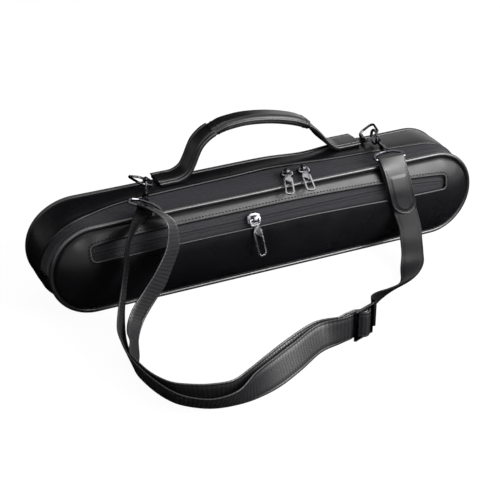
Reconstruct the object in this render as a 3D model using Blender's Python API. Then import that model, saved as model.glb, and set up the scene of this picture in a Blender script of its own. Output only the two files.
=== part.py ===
"""Soft clamshell bag for a flute: two stadium-shaped halves, zippers, carrying handle and shoulder strap.

Metres, +Z up. X runs along the bag, the front (lid) faces -Y, and the bag stands on its bottom gusset
at z = 0.
"""
import math

import bmesh
import bpy
from mathutils import Vector

# Bag halves
bag_length = 0.432
front_height = 0.086
rear_height = 0.088
bag_depth = 0.062
seam_gap = 0.0003
piping_radius = 0.0018
gusset_wall = 0.0022
panel_wall = 0.0024
front_dome = 0.013
rear_dome = 0.005
dome_power = 2.2
rear_gusset_width = 0.0325
pad_wall = 0.004
pocket_sheet = 0.001

# Main zipper
tape_thickness = 0.0012
tape_sink = 0.001
coil_width = 0.0030
coil_thickness = 0.0024
coil_sink = 0.0006
coil_gap = 0.0016
rear_tape_width = 0.0102
stop_length = 0.004

# Front pocket window and its zipper
window_length = 0.361
window_height = 0.0165
window_drop = 0.0208  # window's middle below the top of the front panel
window_middle_height = front_height - window_drop
window_corner = 0.003
pocket_tape_cover = 0.003
pocket_coil_width = 0.0022
pocket_coil_thickness = 0.0018
pocket_coil_gap = 0.0014
pocket_tape_thickness = 0.0009

# Zipper sliders
slider_length = 0.0125
slider_width = 0.0100
slider_plate = 0.0016
slider_nose_share = 0.62
slider_headroom = 0.0009
slider_footroom = 0.0014
pillar_length = 0.005
pillar_clearance = 0.0003
bail_width = 0.0034
bail_span = 0.0064
bail_wall = 0.0011
bail_hole = 0.0036
main_slider_places = (0.0230, 0.0400)
pocket_slider_place = -0.0250

# Zipper pulls
pull_thickness = 0.0013
pull_eye_width = 0.0105
pull_eye_depth = 0.0062
pull_bar = 0.0013
pull_width = 0.0086
main_pull_length = 0.0365
pocket_pull_length = 0.0375
pull_rail = 0.0015
pull_neck_width = 0.0042
main_pull_dip = 8.5
main_pull_yaws = (22.0, 15.0)
pocket_pull_lean = 9.0
pocket_pull_tilt = 10.0

# Carrying handle
handle_centre_x = 0.010
handle_middle_y = 0.0230
handle_width = 0.0250
handle_thickness = 0.0026
handle_reach = 0.104
handle_rise = 0.0444
grip_width = 0.0225
grip_thickness = 0.0120
grip_reach = 0.0500
rivet_radius = 0.0028
rivet_head = 0.0010

# Strap rings at the two ends of the handle
ring_wire = 0.0012
ring_half_width = 0.0110
ring_depth = 0.0170
ring_corner = 0.0050
ring_tilts = (22.0, 37.0)
ring_yaws = (14.0, 15.0)
loop_leather = 0.0014
loop_width = 0.0110
loop_tail = 0.0045
ring_bar_out = 0.0075

# Snap hooks
claw_radius = 0.0066
claw_wire = 0.0014
claw_play = 0.0015
claw_ring_share = 0.64
swivel_gap = 0.00034
gate_half = 0.0011
gate_root_half = 0.0005
gate_length = 0.0079
hinge_along = 0.0088
hinge_rise = 0.0021
lug_reach = 0.0019
lug_half = 0.0020
lug_slot_half = 0.0008
gate_pin_radius = 0.0005
gate_gap = 0.0003
shank_length = 0.0200
barrel_length = 0.0080
barrel_wall = 0.0009
swivel_post = 0.0012
swivel_collar = 0.0012
swivel_collar_radius = 0.0022
eye_wire = 0.0013
eye_half_width = 0.0150
eye_depth = 0.0108

# Shoulder strap
strap_unit = 0.1000
strap_lift = front_height / 0.86
webbing_width = 0.0250
webbing_thickness = 0.0014
ply_spacing = 0.0025
adjuster_pitch = 0.0100
adjuster_bar_long = 0.0024
adjuster_bar_deep = 0.0016
adjuster_middle = 0.0012
adjuster_height = 0.0292
adjuster_rail = 0.0016
tab_width = 0.0255
tab_leather = 0.0013

# Derived places
front_y = -bag_depth / 2
rear_y = bag_depth / 2
zip_seam_y = rear_y - rear_gusset_width
rear_coil_y = zip_seam_y - rear_tape_width
front_coil_y = rear_coil_y - coil_gap
zip_y = (rear_coil_y + front_coil_y) / 2
piping_front_y = front_y + piping_radius
piping_rear_y = rear_y - piping_radius
arc_degrees = 9
overrun = 0.002
dome_shares = (0, 0.06, 0.14, 0.25, 0.40, 0.58, 0.78, 1)


def height_at(y):
    """Height of the gusset over the table, a little lower at the front than at the rear."""
    return front_height + (rear_height - front_height) * (y - front_y) / bag_depth


def top_over(y, reach):
    """Highest level of the gussets' top within reach of y."""
    return max(height_at(y - reach), height_at(y + reach))


def outline(y, inset, span="whole"):
    """Points and outward directions round the bag at depth y, inset from its outer face."""
    end_radius = height_at(y) / 2
    straight = bag_length / 2 - end_radius
    spans = {"whole": ((1, -90, 90), (-1, 90, 270)), "upper": ((1, 0, 90), (-1, 90, 180)),
             "lower": ((-1, 180, 270), (1, 270, 360))}
    points = []
    for side, first, last in spans[span]:
        centre = Vector((side * straight, y, end_radius))
        steps = (last - first) // arc_degrees
        for step in range(steps + 1):
            angle = math.radians(first + step * arc_degrees)
            out = Vector((math.cos(angle), 0, math.sin(angle)))
            points.append((centre + out * (end_radius - inset), out))
    return points


def edge_distance(x, z, y):
    """Distance inwards from the bag's outline at depth y."""
    end_radius = height_at(y) / 2
    straight = bag_length / 2 - end_radius
    return end_radius - math.hypot(max(abs(x) - straight, 0), z - end_radius)


def dome_depth(share, dome):
    """How far a panel stands out at a share of the way from its rim to its middle."""
    share = min(max(share, 0), 1)
    for low, high in zip(dome_shares, dome_shares[1:]):
        if share <= high:
            a, b = [dome * (1 - (1 - s) ** dome_power) for s in (low, high)]
            return a + (b - a) * (share - low) / (high - low)
    return dome


def panel_insets(seam_y):
    """Inset of a panel's rim and of its middle line."""
    return 2 * piping_radius + seam_gap, height_at(seam_y) / 2 - piping_radius


def front_face_y(x, z):
    """Outer face of the front panel."""
    rim, core = panel_insets(front_y)
    return front_y - dome_depth((edge_distance(x, z, front_y) - rim) / (core - rim), front_dome)


def make_material(name, colour, roughness, metallic=0.0):
    material = bpy.data.materials.new(name)
    material.use_nodes = True
    shader = material.node_tree.nodes["Principled BSDF"]
    shader.inputs["Base Color"].default_value = (*colour, 1)
    shader.inputs["Roughness"].default_value = roughness
    shader.inputs["Metallic"].default_value = metallic
    material.diffuse_color = (*colour, 1)
    return material


def add_mesh(name, points, faces, finish, origin=(0, 0, 0), smooth_angle=40):
    """One object with its own material; origin is the object's own zero point in the bag's frame."""
    colour, roughness, metallic = finish
    centre = Vector(origin)
    mesh = bpy.data.meshes.new(name)
    mesh.from_pydata([Vector(p) - centre for p in points], [], faces)
    shape = bmesh.new()
    shape.from_mesh(mesh)
    bmesh.ops.recalc_face_normals(shape, faces=shape.faces)
    shape.to_mesh(mesh)
    shape.free()
    mesh.shade_smooth()
    mesh.set_sharp_from_angle(angle=math.radians(smooth_angle))
    mesh.materials.append(make_material(name, colour, roughness, metallic))
    thing = bpy.data.objects.new(name, mesh)
    thing.location = centre
    bpy.context.collection.objects.link(thing)
    return thing


def loft_faces(sections, closed, first=0):
    """Faces over a row of sections that have the same number of points."""
    count = len(sections[0])
    rows = len(sections)
    faces = []
    for row in range(rows if closed else rows - 1):
        here = first + row * count
        there = first + (row + 1) % rows * count
        for k in range(count):
            after = (k + 1) % count
            faces.append((here + k, here + after, there + after, there + k))
    if not closed:
        faces.append(tuple(range(first + count - 1, first - 1, -1)))
        last = first + (rows - 1) * count
        faces.append(tuple(range(last, last + count)))
    return faces


def loft(name, sections, finish, closed=False, origin=(0, 0, 0), smooth_angle=40):
    points = [p for section in sections for p in section]
    return add_mesh(name, points, loft_faces(sections, closed), finish, origin, smooth_angle)


def box_sections(low, high):
    """A box as two sections along Z."""
    corners = ((low[0], low[1]), (high[0], low[1]), (high[0], high[1]), (low[0], high[1]))
    return [[Vector((x, y, z)) for x, y in corners] for z in (low[2], high[2])]


def tube_sections(path, radius, sides, closed=False, start_side=None):
    """Round sections along a path, carried along without twist."""
    count = len(path)
    sections = []
    side = start_side
    for k, point in enumerate(path):
        before = path[k - 1] if closed or k else path[0]
        after = path[(k + 1) % count] if closed or k + 1 < count else path[-1]
        along = (after - before).normalized()
        if side is None:
            side = along.orthogonal()
        side = (side - along * side.dot(along)).normalized()
        other = along.cross(side)
        here = radius[k] if isinstance(radius, (list, tuple)) else radius
        section = []
        for step in range(sides):
            angle = 2 * math.pi * (step + 0.5) / sides
            section.append(point + side * (here * math.cos(angle)) + other * (here * math.sin(angle)))
        sections.append(section)
    return sections


def smooth_rows(rows, steps):
    """Catmull-Rom curve through rows of numbers."""
    out = []
    count = len(rows)
    for k in range(count - 1):
        p0, p1, p2, p3 = rows[max(k - 1, 0)], rows[k], rows[k + 1], rows[min(k + 2, count - 1)]
        for step in range(steps):
            t = step / steps
            row = []
            for a, b, c, d in zip(p0, p1, p2, p3):
                row.append(0.5 * (2 * b + (c - a) * t + (2 * a - 5 * b + 4 * c - d) * t * t
                                  + (3 * b - a - 3 * c + d) * t ** 3))
            out.append(row)
    out.append(list(rows[-1]))
    return out


def modify(thing, kind, **settings):
    modifier = thing.modifiers.new(kind.title(), kind)
    for key, value in settings.items():
        setattr(modifier, key, value)
    return modifier


def cut_with(thing, tool, operation="DIFFERENCE"):
    """Boolean that keeps the tool as a hidden wire guide."""
    tool.hide_render = True
    tool.display_type = "WIRE"
    modify(thing, "BOOLEAN", object=tool, operation=operation, solver="EXACT")


leather = ((0.018, 0.018, 0.020), 0.38, 0.0)
piping_leather = ((0.022, 0.022, 0.024), 0.30, 0.0)
tape_fabric = ((0.035, 0.035, 0.038), 0.75, 0.0)
webbing_fabric = ((0.045, 0.045, 0.048), 0.55, 0.0)
lining_fabric = ((0.030, 0.030, 0.032), 0.85, 0.0)
foam = ((0.050, 0.050, 0.052), 0.90, 0.0)
polished = ((0.62, 0.62, 0.64), 0.22, 1.0)
black_nickel = ((0.060, 0.060, 0.065), 0.25, 1.0)


def band(name, y_low, y_high, inset_out, inset_in, finish, span="whole", **more):
    """A strip of the gusset ring between two depths, with its two faces at given insets."""
    sections = []
    for (p, out_p), (q, out_q) in zip(outline(y_low, 0, span), outline(y_high, 0, span)):
        sections.append([p - out_p * inset_out, q - out_q * inset_out, q - out_q * inset_in,
                         p - out_p * inset_in])
    return loft(name, sections, finish, closed=span == "whole", **more)


def lift_ends(sections, lift):
    for k in (0, -1):
        sections[k] = [p + Vector((0, 0, lift)) for p in sections[k]]


def zip_half(name, seam_y, coil_y, finish, **more):
    """One half of the main zipper over the upper half of the bag: tape with its bead of coil."""
    toward = 1 if seam_y > coil_y else -1
    bead_y = coil_y + toward * coil_width
    sections = []
    rows = zip(outline(seam_y, 0, "upper"), outline(bead_y, 0, "upper"), outline(coil_y, 0, "upper"))
    for (seam, out), (bead, _), (coil, _) in rows:
        profile = ((seam, tape_sink), (bead, tape_sink), (bead, coil_sink), (coil, coil_sink),
                   (coil, coil_sink + coil_thickness), (bead, coil_sink + coil_thickness),
                   (bead, tape_sink + tape_thickness), (seam, tape_sink + tape_thickness))
        sections.append([point - out * depth for point, depth in profile])
    lift_ends(sections, seam_gap)
    return loft(name, sections, finish, **more)


def piping(name, y, finish, **more):
    """Round welt cord tangent to the gusset's outer face."""
    path = [p for p, _ in outline(y, piping_radius)]
    return loft(name, tube_sections(path, piping_radius, 8, True, Vector((0, 1, 0))), finish, closed=True,
                **more)


def panel(name, seam_y, facing, dome, finish, **more):
    """Domed stadium panel; facing is -1 for the front and 1 for the rear."""
    rim, core = panel_insets(seam_y)
    outer = []
    inner = []
    for share in dome_shares:
        inset = rim + (core - rim) * share
        face_y = seam_y + facing * dome_depth(share, dome)
        outer.append([Vector((p.x, face_y, p.z)) for p, _ in outline(seam_y, inset)])
        inner.append([Vector((p.x, face_y - facing * panel_wall, p.z)) for p, _ in outline(seam_y, inset)])
    return loft(name, inner[::-1] + outer, finish, **more)


def rounded_rectangle(width, height, corner, steps=4):
    """Outline in its own plane, centred, anticlockwise."""
    points = []
    for k, (sx, sy) in enumerate(((1, 1), (-1, 1), (-1, -1), (1, -1))):
        for step in range(steps + 1):
            angle = math.pi / 2 * (k + step / steps)
            points.append((sx * (width / 2 - corner) + corner * math.cos(angle),
                           sy * (height / 2 - corner) + corner * math.sin(angle)))
    return points


def pocket_frame(x):
    """Middle of the pocket window at x on the panel's face, the way up the face, and the way out of it."""
    step = window_height / 4
    ends = [front_face_y(x, window_middle_height + side * step) for side in (-1, 1)]
    slope = Vector((0, ends[1] - ends[0], 2 * step)).normalized()
    middle = Vector((x, front_face_y(x, window_middle_height), window_middle_height))
    return middle, slope, Vector((0, -slope.z, slope.y))


def pocket_strip(name, side, finish, **more):
    """Half of the pocket zipper behind the window; side is 1 for the upper half and -1 for the lower."""
    tape_face = panel_wall + seam_gap
    tape_back = tape_face + pocket_tape_thickness
    bead_face = tape_face - pocket_coil_thickness
    coil = side * pocket_coil_gap / 2
    bead = coil + side * pocket_coil_width
    edge_z = window_middle_height + side * (window_height / 2 + pocket_tape_cover)
    straight = bag_length / 2 - front_height / 2
    half = window_length / 2 - window_corner
    sections = []
    for x in (-half, -(half + straight) / 2, -straight, 0, straight, (half + straight) / 2, half):
        middle, slope, out = pocket_frame(x)
        edge_y = front_face_y(x, edge_z)
        section = [Vector((x, edge_y + tape_face, edge_z))]
        section += [middle + slope * u - out * depth for u, depth in
                    ((bead, tape_face), (bead, bead_face), (coil, bead_face), (coil, tape_back),
                     (bead, tape_back))]
        section.append(Vector((x, edge_y + tape_back, edge_z)))
        sections.append(section)
    return loft(name, sections, finish, **more)


def slider_body(name, centre, top, finish, low, pillar_width, across, up):
    """Slider: two waisted plates with a pillar between them and a bail on top.

    across runs over the two zipper halves and up is away from the bag; low and top are the levels of
    the plates' inner faces measured from the centre.
    """
    along = Vector((1, 0, 0))
    origin = Vector(centre)

    def ring(length, width, level, nose):
        points = []
        for x_share, w_share in ((0.5, nose), (0.2, 1), (-0.2, 1), (-0.5, nose), (-0.5, -nose), (-0.2, -1),
                                 (0.2, -1), (0.5, -nose)):
            points.append(origin + along * (length * x_share) + across * (width / 2 * w_share) + up * level)
        return points

    levels = ((slider_length, slider_width, low - slider_plate, slider_nose_share),
              (slider_length, slider_width, low, slider_nose_share),
              (pillar_length, pillar_width, low, 1),
              (pillar_length, pillar_width, top, 1),
              (slider_length, slider_width, top, slider_nose_share),
              (slider_length, slider_width, top + slider_plate, slider_nose_share))
    body = loft(name, [ring(*level) for level in levels], finish, origin=centre, smooth_angle=30)
    base = top + slider_plate
    span = bail_span / 2
    crown = bail_hole + bail_wall
    arch_shares = ((1, 0), (1, 0.55), (0.80, 0.88), (0.4, 1), (-0.4, 1), (-0.80, 0.88), (-1, 0.55), (-1, 0))
    outer = [(span, -slider_plate / 2)] + [(span * a, crown * b) for a, b in arch_shares]
    outer.append((-span, -slider_plate / 2))
    inner_span = span - bail_wall
    inner = [(inner_span, -slider_plate / 2)] + [(inner_span * a, bail_hole * b) for a, b in arch_shares]
    inner.append((-inner_span, -slider_plate / 2))
    sections = []
    for (a, b), (c, d) in zip(outer, inner):
        section = []
        for side, w, h in ((1, a, b), (-1, a, b), (-1, c, d), (1, c, d)):
            section.append(origin + along * (side * bail_width / 2) + across * w + up * (base + h))
        sections.append(section)
    cut_with(body, loft(name + "_bail_guide", sections, finish, origin=centre), "UNION")
    return body, base + bail_hole / 2


def pull(name, pivot, side, down, length, finish):
    """Flat wire pull: eye with a crossbar on the pivot, neck with a slanting web, long slotted loop."""
    face = side.cross(down)
    eye_half = pull_eye_width / 2
    half = pull_width / 2
    neck = pull_neck_width / 2
    eye_end = pull_eye_depth + pull_bar / 2
    web_end = eye_end + half * 1.3
    corner = half * 0.75
    outline_points = [(-eye_half, -pull_bar / 2), (eye_half, -pull_bar / 2),
                      (eye_half, eye_end - pull_rail),
                      (eye_half - pull_rail, eye_end), (neck, eye_end + pull_rail / 2), (half, web_end),
                      (half, length - corner), (half - corner * 0.3, length - corner * 0.3),
                      (half - corner, length), (corner - half, length),
                      (corner * 0.3 - half, length - corner * 0.3), (-half, length - corner),
                      (-half, web_end), (-neck, eye_end + pull_rail / 2), (pull_rail - eye_half, eye_end),
                      (-eye_half, eye_end - pull_rail)]

    def plate(points, thickness):
        return [[pivot + side * s + down * t + face * offset for s, t in points]
                for offset in (-thickness / 2, thickness / 2)]

    body = loft(name, plate(outline_points, pull_thickness), finish, origin=pivot, smooth_angle=30)
    eye_inner = eye_half - pull_rail
    eye_hole = [(-eye_inner, pull_bar / 2), (eye_inner, pull_bar / 2), (eye_inner, eye_end - pull_rail),
                (-eye_inner, eye_end - pull_rail)]
    rail_inner = half - pull_rail
    slot = [(-rail_inner, web_end + pull_rail), (rail_inner, web_end + half * 1.6),
            (rail_inner, length - corner), (rail_inner - corner * 0.3, length - pull_rail),
            (corner * 0.3 - rail_inner, length - pull_rail), (-rail_inner, length - corner)]
    for tag, points in (("eye", eye_hole), ("slot", slot)):
        cut_with(body, loft(name + "_" + tag + "_guide", plate(points, pull_thickness + overrun), finish,
                            origin=pivot))
    return body


def make_rear_half():
    band("rear_gusset", zip_seam_y, piping_rear_y - piping_radius - seam_gap, 0, gusset_wall, leather)
    panel("rear_panel", rear_y, 1, rear_dome, leather)
    piping("rear_piping", piping_rear_y, piping_leather)
    zip_half("rear_zip_tape", zip_seam_y - seam_gap, rear_coil_y, tape_fabric)
    band("bottom_gusset", piping_front_y + piping_radius + seam_gap, zip_seam_y - seam_gap, 0, gusset_wall,
         leather, span="lower")
    pad_inset = gusset_wall + seam_gap
    back = rear_y - panel_wall - seam_gap
    band("rear_side_pad", zip_seam_y + coil_width, back - pad_wall - seam_gap, pad_inset,
         pad_inset + pad_wall, foam)
    sections = [[p for p, _ in outline(y, pad_inset + overrun)] for y in (back - pad_wall, back)]
    loft("rear_back_pad", sections, foam)
    middle = height_at(zip_y) / 2
    for name, side in (("left", -1), ("right", 1)):
        near = side * (bag_length / 2 + seam_gap)
        far = side * (bag_length / 2 + seam_gap + tape_thickness)
        low = (min(near, far), zip_y - coil_width, middle - stop_length)
        high = (max(near, far), zip_y + coil_width, middle - seam_gap)
        loft(name + "_zip_stop", box_sections(low, high), black_nickel)


def make_lid(hinge):
    front = panel("front_panel", front_y, -1, front_dome, leather, origin=hinge)
    window = rounded_rectangle(window_length, window_height, window_corner)
    sections = [[Vector((x, y, window_middle_height + z)) for x, z in window]
                for y in (front_y - bag_depth, 0)]
    cut_with(front, loft("pocket_window_guide", sections, leather, origin=hinge))
    piping("front_piping", piping_front_y, piping_leather, origin=hinge)
    zip_half("front_zip_tape", piping_front_y + piping_radius + seam_gap, front_coil_y, tape_fabric,
             origin=hinge)
    for name, side in (("pocket_zip_lower", -1), ("pocket_zip_upper", 1)):
        pocket_strip(name, side, tape_fabric, origin=hinge)
    sheet_y = front_y + panel_wall + seam_gap
    inset = gusset_wall + tape_sink + tape_thickness
    sections = [[p for p, _ in outline(y, inset)] for y in (sheet_y, sheet_y + pocket_sheet)]
    loft("pocket_back", sections, lining_fabric, origin=hinge)
    pad_y = sheet_y + pocket_sheet + seam_gap
    sections = [[p for p, _ in outline(y, inset + overrun)] for y in (pad_y, pad_y + pad_wall)]
    loft("front_pad", sections, foam, origin=hinge)


def make_sliders():
    """Main sliders and pulls on the straight top run, pocket slider and pull on the front panel."""
    up = Vector((0, 0, 1))
    level = height_at(zip_y) - coil_sink
    for side, place, yaw in zip(("left", "right"), main_slider_places, main_pull_yaws):
        centre = Vector((place, zip_y, level))
        body, bar = slider_body("main_slider_" + side, centre, slider_headroom, polished,
                                -coil_thickness - slider_footroom, coil_gap - 2 * pillar_clearance,
                                Vector((0, 1, 0)), up)
        dip = math.radians(main_pull_dip) + min(0.0, math.atan((rear_height - front_height) / bag_depth))
        turn = math.radians(yaw)
        down = Vector((-math.sin(turn) * math.cos(dip), -math.cos(turn) * math.cos(dip), -math.sin(dip)))
        pull("main_pull_" + side, centre + up * bar, Vector((math.cos(turn), -math.sin(turn), 0)), down,
             main_pull_length, polished)
    middle, slope, out = pocket_frame(pocket_slider_place)
    face = middle - out * (panel_wall + seam_gap)
    body, bar = slider_body("pocket_slider", face, pocket_coil_thickness + slider_headroom, polished,
                            -pocket_tape_thickness - slider_footroom,
                            pocket_coil_gap - 2 * pillar_clearance, slope, out)
    lean = math.radians(pocket_pull_lean)
    tilt = math.radians(pocket_pull_tilt)
    down = Vector((math.sin(lean) * math.cos(tilt), -math.sin(tilt), -math.cos(lean) * math.cos(tilt)))
    pull("pocket_pull", face + out * bar, Vector((math.cos(lean), 0, math.sin(lean))), down,
         pocket_pull_length, polished)


def handle_points():
    """Middle line of the handle strap from end to end."""
    shares = ((-1, 0), (-0.82, 0), (-0.755, 0.012), (-0.69, 0.10), (-0.60, 0.42), (-0.48, 0.79),
              (-0.35, 0.925), (-0.18, 0.985), (0, 1))
    rows = [(a * handle_reach, b * handle_rise) for a, b in shares]
    rows += [(-a, b) for a, b in rows[-2::-1]]
    low = top_over(handle_middle_y, handle_width / 2) + seam_gap + handle_thickness / 2
    return [Vector((handle_centre_x + x, handle_middle_y, low + z)) for x, z in smooth_rows(rows, 3)]


def make_handle(points):
    half = handle_width / 2
    grip_half = grip_width / 2
    core_half = grip_half - handle_thickness
    sections = []
    grip = []
    for k, point in enumerate(points):
        along = (points[min(k + 1, len(points) - 1)] - points[max(k - 1, 0)]).normalized()
        normal = Vector((-along.z, 0, along.x))
        place = abs(point.x - handle_centre_x)
        width = core_half if place < grip_reach + handle_thickness else half
        wide = Vector((0, width, 0))
        thick = normal * (handle_thickness / 2)
        sections.append([point - wide - thick, point + wide - thick, point + wide + thick,
                         point - wide + thick])
        if place <= grip_reach:
            grip.append((point, normal))
    loft("handle_strap", sections, leather)
    hole = ((1, 0.3), (1, 1), (0.5, 1), (-0.5, 1), (-1, 1), (-1, 0.3), (-1, -0.3), (-1, -1), (-0.5, -1),
            (0.5, -1), (1, -1), (1, -0.3))
    outer = []
    inner = []
    for point, normal in grip:
        ring = []
        for step in range(12):
            angle = 2 * math.pi * (step + 0.5) / 12
            across = math.copysign(abs(math.cos(angle)) ** 0.8, math.cos(angle))
            lift = math.copysign(abs(math.sin(angle)) ** 0.8, math.sin(angle))
            ring.append(point + Vector((0, across * grip_half, 0)) + normal * (lift * grip_thickness / 2))
        outer.append(ring)
        inner.append([point + Vector((0, a * (core_half + seam_gap), 0))
                      + normal * (b * (handle_thickness / 2 + seam_gap)) for a, b in hole])
    loft("handle_grip", outer + inner[::-1], leather, closed=True)


def make_rivets(ends):
    """Low round rivet heads at the handle's sewn ends."""
    for name, (end, way) in zip(("left", "right"), ends):
        for tag, side in (("front", -1), ("rear", 1)):
            centre = end + Vector((-way * 2 * loop_tail, side * handle_width * 0.32,
                                   handle_thickness / 2 + seam_gap))
            sections = []
            for lift, share in ((0, 1), (rivet_head * 0.6, 0.9), (rivet_head, 0.55)):
                sections.append([centre + Vector((rivet_radius * share * math.cos(math.pi * k / 6),
                                                  rivet_radius * share * math.sin(math.pi * k / 6), lift))
                                 for k in range(12)])
            loft(name + "_" + tag + "_rivet", sections, black_nickel, smooth_angle=60)


def ring_frame(end, way, yaw, tilt):
    """Place of a strap ring: bar centre, bar direction, and the direction out of the loop."""
    turn = math.radians(yaw)
    tilt = math.radians(tilt)
    bar = Vector((way * math.sin(turn), math.cos(turn), 0))
    flat = Vector((way * math.cos(turn), -math.sin(turn), 0))
    centre = end + flat * ring_bar_out
    centre.z = top_over(end.y, ring_half_width) + 2 * seam_gap + loop_leather + ring_wire
    return centre, bar, flat * math.cos(tilt) + Vector((0, 0, math.sin(tilt)))


def make_ring(side, end, way, yaw, tilt):
    """D-ring; returns the place on its front arm where the snap hook hangs."""
    centre, bar, out = ring_frame(end, way, yaw, tilt)
    straight = ring_half_width - ring_corner
    path = []
    for across, deep, start in ((straight, ring_corner, -90), (straight, ring_depth - ring_corner, 0),
                                (-straight, ring_depth - ring_corner, 90), (-straight, ring_corner, 180)):
        for step in range(4):
            angle = math.radians(start + 30 * step)
            path.append(centre + bar * (across + ring_corner * math.cos(angle))
                        + out * (deep + ring_corner * math.sin(angle)))
    loft(side + "_ring", tube_sections(path, ring_wire, 8, True), black_nickel, closed=True, origin=centre)
    return centre - bar * ring_half_width + out * (ring_depth * claw_ring_share)


def make_ring_loop(side, end, way, yaw, tilt):
    """Leather tab folded round the ring's bar and laid on the gusset."""
    centre, bar, out = ring_frame(end, way, yaw, tilt)
    flat = Vector((out.x, out.y, 0)).normalized()
    up = Vector((0, 0, 1))
    inner = ring_wire + seam_gap
    outer = inner + loop_leather
    ends = (-loop_tail, -loop_tail * 0.15)
    profile = [(ends[0], -outer)]
    profile += [(outer * math.cos(math.radians(a)), outer * math.sin(math.radians(a)))
                for a in range(-90, 91, 30)]
    profile += [(ends[1], outer), (ends[1], inner)]
    profile += [(inner * math.cos(math.radians(a)), inner * math.sin(math.radians(a)))
                for a in range(90, -91, -30)]
    profile.append((ends[0], -inner))
    sections = [[centre + bar * across + flat * a + up * b for a, b in profile]
                for across in (-loop_width / 2, loop_width / 2)]
    loft(side + "_ring_loop", sections, leather, smooth_angle=35)


def hook_frame(hang, eye, turn):
    """Claw centre and axes of a snap hook hanging at a ring and reaching towards the strap's eye bar."""
    along = (eye - hang).normalized()
    flat = Vector((1, 0, 0))
    flat = (flat - along * flat.dot(along)).normalized()
    up = flat.cross(along)
    if up.z < 0:
        up = -up
    angle = math.radians(turn)
    return hang + along * claw_play, along, flat, up, flat * math.cos(angle) + up * math.sin(angle)


def make_hook(side, hang, eye, turn, swing):
    """Snap hook: claw with shank and barrel, sprung gate with its pin, and the swivel eye."""
    claw, along, flat, up, bar = hook_frame(hang, eye, turn)

    def at(a, b, c=0.0):
        return claw + along * a + up * b + flat * c

    def disc(a, radius):
        return [at(a, radius * math.cos(math.pi * (k + 0.5) / 4),
                   radius * math.sin(math.pi * (k + 0.5) / 4))
                for k in range(8)]

    def block(a, b, c):
        return [[at(x, b[0], c[0]), at(x, b[1], c[0]), at(x, b[1], c[1]), at(x, b[0], c[1])] for x in a]

    barrel_start = claw_radius + shank_length - barrel_length
    barrel_end = barrel_start + barrel_length
    room = swivel_collar_radius + swivel_gap
    shell_radius = room + barrel_wall
    steps = [at(claw_radius * math.cos(math.radians(a)), claw_radius * math.sin(math.radians(a)))
             for a in range(75, 331, 15)]
    path = steps + [at(claw_radius * 1.22, -claw_wire), at(claw_radius * 1.6, 0),
                    at(barrel_start + claw_wire, 0)]
    radii = [claw_wire * 0.75] + [claw_wire] * len(steps) + [claw_wire * 1.25, claw_wire * 1.25]
    hook = loft(side + "_hook", tube_sections(path, radii, 8, start_side=flat), black_nickel, origin=hang,
                smooth_angle=50)
    lip = barrel_end - swivel_collar
    bore = swivel_post + swivel_gap
    shell = [disc(barrel_start, claw_wire), disc(barrel_start + claw_wire, shell_radius),
             disc(barrel_end, shell_radius), disc(barrel_end, bore), disc(lip, bore), disc(lip, room),
             disc(lip - swivel_collar - 2 * swivel_gap, room)]
    cut_with(hook, loft(side + "_barrel_guide", shell, black_nickel, origin=hang), "UNION")
    lugs = block((hinge_along - lug_reach, hinge_along + lug_reach), (-claw_wire, hinge_rise + lug_reach),
                 (-lug_half, lug_half))
    cut_with(hook, loft(side + "_lug_guide", lugs, black_nickel, origin=hang), "UNION")
    slot = block((hinge_along - overrun * 2, hinge_along + lug_reach + overrun),
                 (0, hinge_rise + overrun * 2), (-lug_slot_half, lug_slot_half))
    cut_with(hook, loft(side + "_slot_guide", slot, black_nickel, origin=hang))

    def pin(radius, half):
        return [[at(hinge_along + radius * math.cos(math.pi * k / 5),
                    hinge_rise + radius * math.sin(math.pi * k / 5), c)
                 for k in range(10)] for c in (-half, half)]

    cut_with(hook, loft(side + "_pin_guide", pin(gate_pin_radius + gate_gap, lug_half + overrun),
                        black_nickel, origin=hang))
    hinge = at(hinge_along, hinge_rise)
    way = (steps[0] - hinge).normalized()
    end = (steps[0] - hinge).length - claw_wire - gate_gap
    rise = flat.cross(way)
    stations = ((-lug_reach * 0.75, gate_root_half, gate_half * 0.8),
                (lug_reach + gate_half, gate_root_half, gate_half * 0.8),
                (lug_reach + 2 * gate_half, gate_half, gate_half), (end, gate_half, gate_half * 0.8))
    arm = [[hinge + way * s + flat * (sx * half_c) + rise * (sy * half_b) for sx, sy in
            ((1, -0.5), (1, 0.5), (0.5, 1), (-0.5, 1), (-1, 0.5), (-1, -0.5), (-0.5, -1), (0.5, -1))]
           for s, half_c, half_b in stations]
    gate = loft(side + "_gate", arm, black_nickel, origin=hinge)
    cut_with(gate, loft(side + "_gate_pin_guide", pin(gate_pin_radius, lug_half), black_nickel,
                        origin=hinge), "UNION")
    post_end = barrel_end + swivel_collar
    under = lip - swivel_gap
    stem = [(under - swivel_collar, swivel_collar_radius), (under, swivel_collar_radius),
            (under, swivel_post), (post_end + eye_wire, swivel_post)]
    post = loft(side + "_swivel_eye", [disc(a, r) for a, r in stem], black_nickel, origin=swing)
    start = post_end + eye_wire * 0.5
    shares = ((0, 0), (0.45, 0.04), (0.85, 0.30), (1, 0.62), (1, 0.96), (0.97, 1), (0.4, 1), (-0.4, 1),
              (-0.97, 1), (-1, 0.96), (-1, 0.62), (-0.85, 0.30), (-0.45, 0.04))
    loop_path = [claw + along * (start + eye_depth * deep) + bar * (eye_half_width * across) for across,
                 deep in shares]
    loop = loft(side + "_eye_loop_guide", tube_sections(loop_path, eye_wire, 8, True), black_nickel,
                closed=True, origin=swing)
    cut_with(post, loop, "UNION")
    return claw + along * (start + eye_depth), along, bar


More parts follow.
